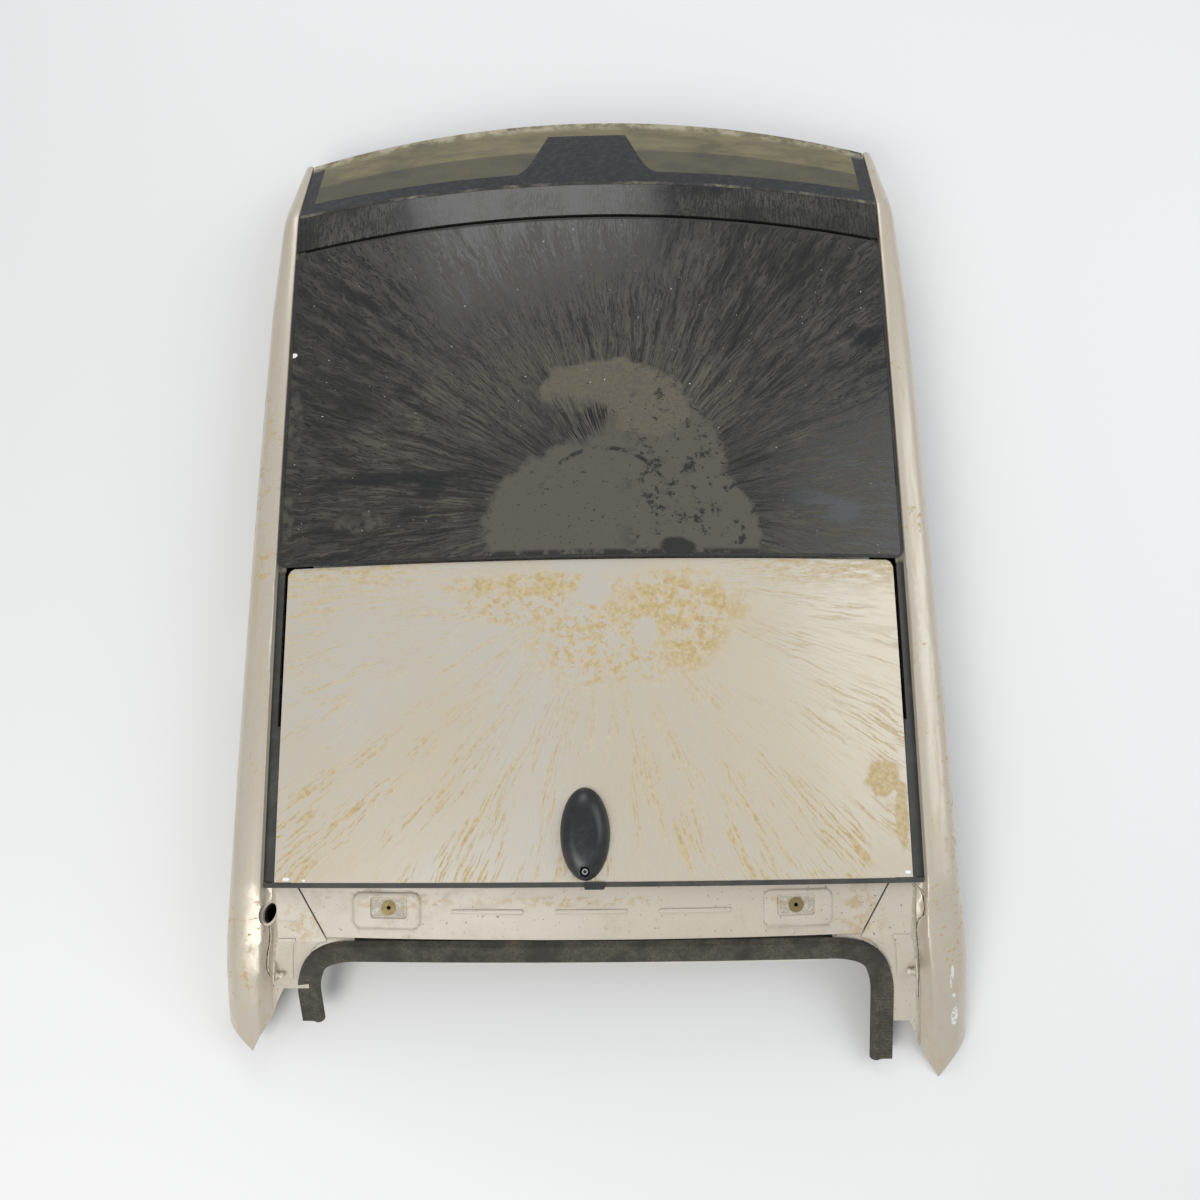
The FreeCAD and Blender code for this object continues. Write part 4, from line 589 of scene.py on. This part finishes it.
finishes = {
    "roof_skin": skinFinish, "sunroof_glass": roofGlass, "front_panel": blackPanel,
    "windscreen": windscreenGlass, "glass_rim": rubber, "windscreen_moulding": dustyRubber,
    "front_seal": paleRubber, "tailgate_seal": sealRubber, "rear_header": flangePaint,
    "corner_channel_left": flangePaint, "corner_channel_right": flangePaint,
    "strut_bracket_left": flangePaint, "strut_bracket_right": flangePaint,
    "corner_ring_left": flangePaint, "side_moulding_left": stripPlastic,
    "side_moulding_right": stripPlastic, "rear_strip": stripPlastic, "antenna_gasket": rubber,
    "windscreen_adhesive": adhesive, "front_panel_tape": adhesive, "bow_mastic": adhesive,
    "antenna_base": shellPlastic, "antenna_tab": shellPlastic, "ball_studs": studSteel,
}
bySlot = {
    "body_paint": bodyPaint, "inner_steel": innerPaintShaded, "black_rubber": rubber, "adhesive": adhesive,
    "black_plastic": blackPlastic, "rail_alloy": railAlloy, "bar_alloy": barAlloy,
    "plated_steel": platedSteel, "yellow_zinc": yellowZinc, "slide_plastic": slidePlastic,
    "shade_cloth": shadeCloth, "motor_can": motorSteel, "roof_glass": roofGlass,
    "panel_glass": blackPanel, "screen_glass": windscreenGlass, "antenna_shell": shellPlastic,
}
slots = {entry["node"]: entry["material_slot"] for entry in frame["record"]["subparts"]}


sawLines = {
    "left": ((-0.540, -0.749), (-0.572, -0.803), (-0.609, -0.864), (-0.649, -0.809), (-0.690, -0.751)),
    "right": ((0.548, -0.814), (0.569, -0.859), (0.608, -0.920), (0.659, -0.835), (0.700, -0.767)),
}


def onSawCut(face, name):
    # whether a face lies on one of the saw cuts at the rear, or on the cut at the windscreen end
    if abs(face.normal.z) > 0.35:
        return False
    centre = face.calc_center_median()
    if centre.y > 0.8 and face.normal.y > 0.9:
        return True
    route = sawLines["left" if name.endswith("left") else "right"]
    for start, end in zip(route, route[1:]):
        ax, ay = end[0] - start[0], end[1] - start[1]
        length = math.hypot(ax, ay)
        off = abs((centre.x - start[0]) * ay - (centre.y - start[1]) * ax) / length
        along = ((centre.x - start[0]) * ax + (centre.y - start[1]) * ay) / length
        if off < 0.0006 and -0.02 < along < length + 0.02:
            return True
    return False


sawnNodes = ("side_panel_left", "side_panel_right", "corner_channel_left", "corner_channel_right",
             "inner_rail_left", "inner_rail_right")


def smoothCopy(name):
    # merged and smooth-shaded stand-in for a faceted CAD node
    source = frame["nodes"][name]
    mesh = source.data.copy()
    mesh.name = name + "_smooth"
    shape = bmesh.new()
    shape.from_mesh(mesh)
    bmesh.ops.remove_doubles(shape, verts=shape.verts, dist=0.00001)
    shape.normal_update()
    for face in shape.faces:
        face.smooth = True
        face.material_index = 1 if name in sawnNodes and onSawCut(face, name) else 0
    shape.to_mesh(mesh)
    shape.free()
    if "sharp_edge" in mesh.attributes:
        mesh.attributes.remove(mesh.attributes["sharp_edge"])
    mesh.set_sharp_from_angle(angle=math.radians(32))
    mesh.materials.clear()
    mesh.materials.append(finishes.get(name) or bySlot[slots[name]])
    if name in sawnNodes:
        mesh.materials.append(sawnSteel)
    piece = bpy.data.objects.new(name + "_shown", mesh)
    bpy.context.scene.collection.objects.link(piece)
    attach(piece, source["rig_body"])
    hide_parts(name)
    even = piece.modifiers.new("even_normals", "WEIGHTED_NORMAL")
    even.keep_sharp = True
    return piece


shown = {}
for nodeName in sorted(frame["nodes"]):
    shown[nodeName] = smoothCopy(nodeName)
print("smoothed", len(shown), "pieces")


def groundHeight(tree, x, y):
    # height of the highest surface under a point
    found = tree.ray_cast(Vector((x, y, 0.5)), Vector((0.0, 0.0, -1.0)))[0]
    return found.z if found else None


def surfaceOf(*names):
    # a few CAD pieces as one surface that rays can be cast at
    corners, faces = [], []
    for name in names:
        mesh = frame["nodes"][name].data
        start = len(corners)
        corners += [vertex.co.copy() for vertex in mesh.vertices]
        faces += [tuple(start + index for index in face.vertices) for face in mesh.polygons]
    return BVHTree.FromPolygons(corners, faces)


def curvePoints(route, count):
    # evenly spread points on a smooth line through a few chosen ones
    points = [Vector(point) for point in route]
    ends = [points[0]] + points + [points[-1]]
    result = []
    for i in range(count + 1):
        place = min(i / count * (len(points) - 1), len(points) - 1.0001)
        k, t = int(place), place - int(place)
        a, b, c, d = ends[k:k + 4]
        square = 2 * a - 5 * b + 4 * c - d
        cube = 3 * b - a - 3 * c + d
        result.append(0.5 * (2 * b + (c - a) * t + square * t * t + cube * t ** 3))
    return result


def addPiece(name, shape, material, body="roof_section"):
    # a finished shape as a piece of its own, moving with a body
    mesh = bpy.data.meshes.new(name)
    bmesh.ops.recalc_face_normals(shape, faces=shape.faces)
    for face in shape.faces:
        face.smooth = True
    shape.to_mesh(mesh)
    shape.free()
    mesh.materials.append(material)
    piece = bpy.data.objects.new(name, mesh)
    bpy.context.scene.collection.objects.link(piece)
    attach(piece, body)
    return piece


def lumpyTube(path, radius, lumps, seed):
    # closed bead of uneven thickness along a path
    shape = bmesh.new()
    sides = 8
    rings = []
    for i, point in enumerate(path):
        ahead = (path[min(i + 1, len(path) - 1)] - path[max(i - 1, 0)]).normalized()
        across = ahead.cross(Vector((0.0, 0.0, 1.0))).normalized()
        up = across.cross(ahead)
        size = radius * (1.0 + lumps * noise.noise(point * 260.0 + Vector((seed, 0.0, 0.0))))
        if i in (0, len(path) - 1):
            size *= 0.35
        ring = []
        for j in range(sides):
            turn = 2.0 * math.pi * j / sides
            out = across * (math.cos(turn) * size * 1.4) + up * (math.sin(turn) * size)
            ring.append(shape.verts.new(point + out))
        rings.append(ring)
    for first, second in zip(rings, rings[1:]):
        for j in range(sides):
            shape.faces.new((first[j], first[(j + 1) % sides], second[(j + 1) % sides], second[j]))
    shape.faces.new(rings[0])
    shape.faces.new(list(reversed(rings[-1])))
    return shape


sealantSettings = {
    "right": ((0.546, -0.578), (0.562, -0.592), (0.567, -0.61), (0.566, -0.63), (0.558, -0.643),
              (0.556, -0.665), (0.559, -0.69), (0.5615, -0.717), (0.5625, -0.743), (0.564, -0.775)),
    "left": ((-0.5585, -0.642), (-0.5575, -0.655), (-0.5585, -0.669), (-0.563, -0.69), (-0.5655, -0.717),
             (-0.5585, -0.735), (-0.556, -0.752)),
    "radius": 0.0011,
    "shadowLine": 0.0006,
    "offset": 0.0019,
}


def addSealant(settings=sealantSettings):
    # brushed sealer on the seams between the body sides and the channels, with a thin dark line beside it as
    # painted shadow of the groove next to the sealer
    for side in ("left", "right"):
        tree = surfaceOf("side_panel_" + side, "corner_channel_" + side, "strut_bracket_" + side)
        flat = curvePoints([(x, y, 0.0) for x, y in settings[side]], 90)
        bead, shadowLine = [], []
        for point in flat:
            height = groundHeight(tree, point.x, point.y)
            beside = groundHeight(tree, point.x - settings["offset"], point.y)
            if height is not None:
                bead.append(Vector((point.x, point.y, height + 0.0002)))
            if beside is not None:
                shadowLine.append(Vector((point.x - settings["offset"], point.y, beside)))
        sealer = lumpyTube(bead, settings["radius"], 0.9, 3.0)
        addPiece("seam_sealer_" + side, sealer, flangePaint)
        # painted shadow: a thin dark tube beside the sealer bead
        shadowTube = lumpyTube(shadowLine, settings["shadowLine"], 0.8, 9.0)
        addPiece("seam_shadow_" + side, shadowTube, seamShadowColour)


flangeSettings = {
    "outer": ((0.405, -0.654, 0.1462), (0.455, -0.652, 0.1425), (0.478, -0.66, 0.1395),
              (0.492, -0.678, 0.1325), (0.497, -0.7, 0.1235)),
    "inner": ((0.408, -0.678, 0.1435), (0.445, -0.68, 0.1378), (0.461, -0.69, 0.1332),
              (0.47, -0.703, 0.1268), (0.476, -0.718, 0.1185)),
    "steps": 16,
}


def addSealFlanges(settings=flangeSettings):
    # flange that closes each corner between the header and the channel and carries the seal
    for name, sign in (("seal_flange_left", -1), ("seal_flange_right", 1)):
        shape = bmesh.new()
        rows = []
        for key in ("outer", "inner"):
            line = curvePoints([(sign * x, y, z) for x, y, z in settings[key]], settings["steps"])
            rows.append([shape.verts.new(point) for point in line])
        for i in range(settings["steps"]):
            shape.faces.new((rows[0][i], rows[0][i + 1], rows[1][i + 1], rows[1][i]))
        piece = addPiece(name, shape, flangePaint)
        wall = piece.modifiers.new("sheet", "SOLIDIFY")
        wall.thickness = 0.0012


cupSettings = {
    "centre": (-0.557, -0.619),
    "half": (0.0122, 0.0183),
    "turn": -20.0,
    "levels": ((1.0, 0.129), (0.97, 0.11), (0.93, 0.09), (0.85, 0.078), (0.6, 0.072), (0.2, 0.072)),
    "sides": 32,
}


def addShadeCup(settings=cupSettings):
    # black cup under the hole in the left corner, a dark piece put there as painted shade of the cavity
    # under the hole
    shape = bmesh.new()
    turn = math.radians(settings["turn"])
    sides = settings["sides"]
    left, back = settings["centre"]
    rings = []
    for share, z in settings["levels"]:
        ring = []
        for j in range(sides):
            angle = 2.0 * math.pi * j / sides
            x = settings["half"][0] * share * math.cos(angle)
            y = settings["half"][1] * share * math.sin(angle)
            across = left + x * math.cos(turn) - y * math.sin(turn)
            along = back + x * math.sin(turn) + y * math.cos(turn)
            ring.append(shape.verts.new((across, along, z)))
        rings.append(ring)
    for first, second in zip(rings, rings[1:]):
        for j in range(sides):
            shape.faces.new((first[j], first[(j + 1) % sides], second[(j + 1) % sides], second[j]))
    shape.faces.new(rings[-1])
    # painted shade: a black cup fills the depth of the hole
    piece = addPiece("shade_cup_left", shape, adhesive)
    wall = piece.modifiers.new("wall", "SOLIDIFY")
    wall.thickness = 0.0015


liningSettings = {
    "start": -0.27,
    "end": 0.4,
    "y": -0.7008,
    "middleZ": 0.1565,
    "crown": 0.1475,
    "radius": 0.0013,
}


def addLiningEdge(settings=liningSettings):
    # white edge of the lining that shows under the tailgate seal
    path = []
    for i in range(61):
        x = settings["start"] + (settings["end"] - settings["start"]) * i / 60
        path.append(Vector((x, settings["y"], settings["middleZ"] - settings["crown"] * x * x)))
    addPiece("lining_edge", lumpyTube(path, settings["radius"], 0.5, 5.0), liningWhite)


addSealant()
addSealFlanges()
addShadeCup()
addLiningEdge()
print("added the seams, flanges, cup and lining edge")


cameraSettings = {
    "place": (0.0628, -0.4432, 1.9232),
    "yaw": -6.75,
    "pitch": 78.29,
    "roll": -7.49,
    "lens": 30.0,
}


def addCamera(settings=cameraSettings):
    # camera from a heading, a tilt and a roll
    yaw, pitch, roll = (math.radians(settings[key]) for key in ("yaw", "pitch", "roll"))
    ahead = Vector((math.sin(yaw) * math.cos(pitch), math.cos(yaw) * math.cos(pitch), -math.sin(pitch)))
    level = Vector((math.cos(yaw), -math.sin(yaw), 0.0))
    up = level.cross(ahead)
    side = math.cos(roll) * level + math.sin(roll) * up
    top = -math.sin(roll) * level + math.cos(roll) * up
    turn = Matrix((side, top, -ahead)).transposed()
    data = bpy.data.cameras.new("camera")
    data.lens = settings["lens"]
    data.sensor_width = 36.0
    camera = bpy.data.objects.new("camera", data)
    camera.matrix_world = Matrix.Translation(Vector(settings["place"])) @ turn.to_4x4()
    bpy.context.scene.collection.objects.link(camera)
    bpy.context.scene.camera = camera


def addLight(name, place, target, size, power, colour=(1.0, 1.0, 1.0)):
    # square lamp aimed at a point
    data = bpy.data.lights.new(name, "AREA")
    data.size = size
    data.energy = power
    data.color = colour
    lamp = bpy.data.objects.new(name, data)
    lamp.location = place
    lamp.rotation_euler = (Vector(target) - Vector(place)).to_track_quat("-Z", "Y").to_euler()
    bpy.context.scene.collection.objects.link(lamp)


def addStage():
    # pale floor, world light and three lamps
    mesh = bpy.data.meshes.new("floor")
    side = 30.0
    corners = [(-side, -side, 0), (side, -side, 0), (side, side, 0), (-side, side, 0)]
    mesh.from_pydata(corners, [], [(0, 1, 2, 3)])
    floor = bpy.data.objects.new("floor", mesh)
    bpy.context.scene.collection.objects.link(floor)
    g = Graph("floor_paper")
    g.set(Base_Color=(0.78, 0.78, 0.77, 1.0), Roughness=0.9)
    mesh.materials.append(g.material)
    world = bpy.data.worlds.new("studio")
    world.use_nodes = True
    world.node_tree.nodes["Background"].inputs[0].default_value = (0.93, 0.96, 1.0, 1.0)
    world.node_tree.nodes["Background"].inputs[1].default_value = 0.55
    bpy.context.scene.world = world
    addLight("key", (-1.5, -2.6, 3.0), (0.0, 0.0, 0.1), 2.0, 75.0, (1.0, 0.98, 0.95))
    addLight("fill", (2.6, 0.4, 2.6), (0.0, 0.0, 0.1), 2.4, 40.0, (0.94, 0.97, 1.0))
    addLight("back", (-0.6, 3.2, 2.6), (0.0, 0.2, 0.1), 2.0, 40.0)


addCamera()
addStage()
bpy.context.scene.view_settings.view_transform = "Standard"
print("lit")
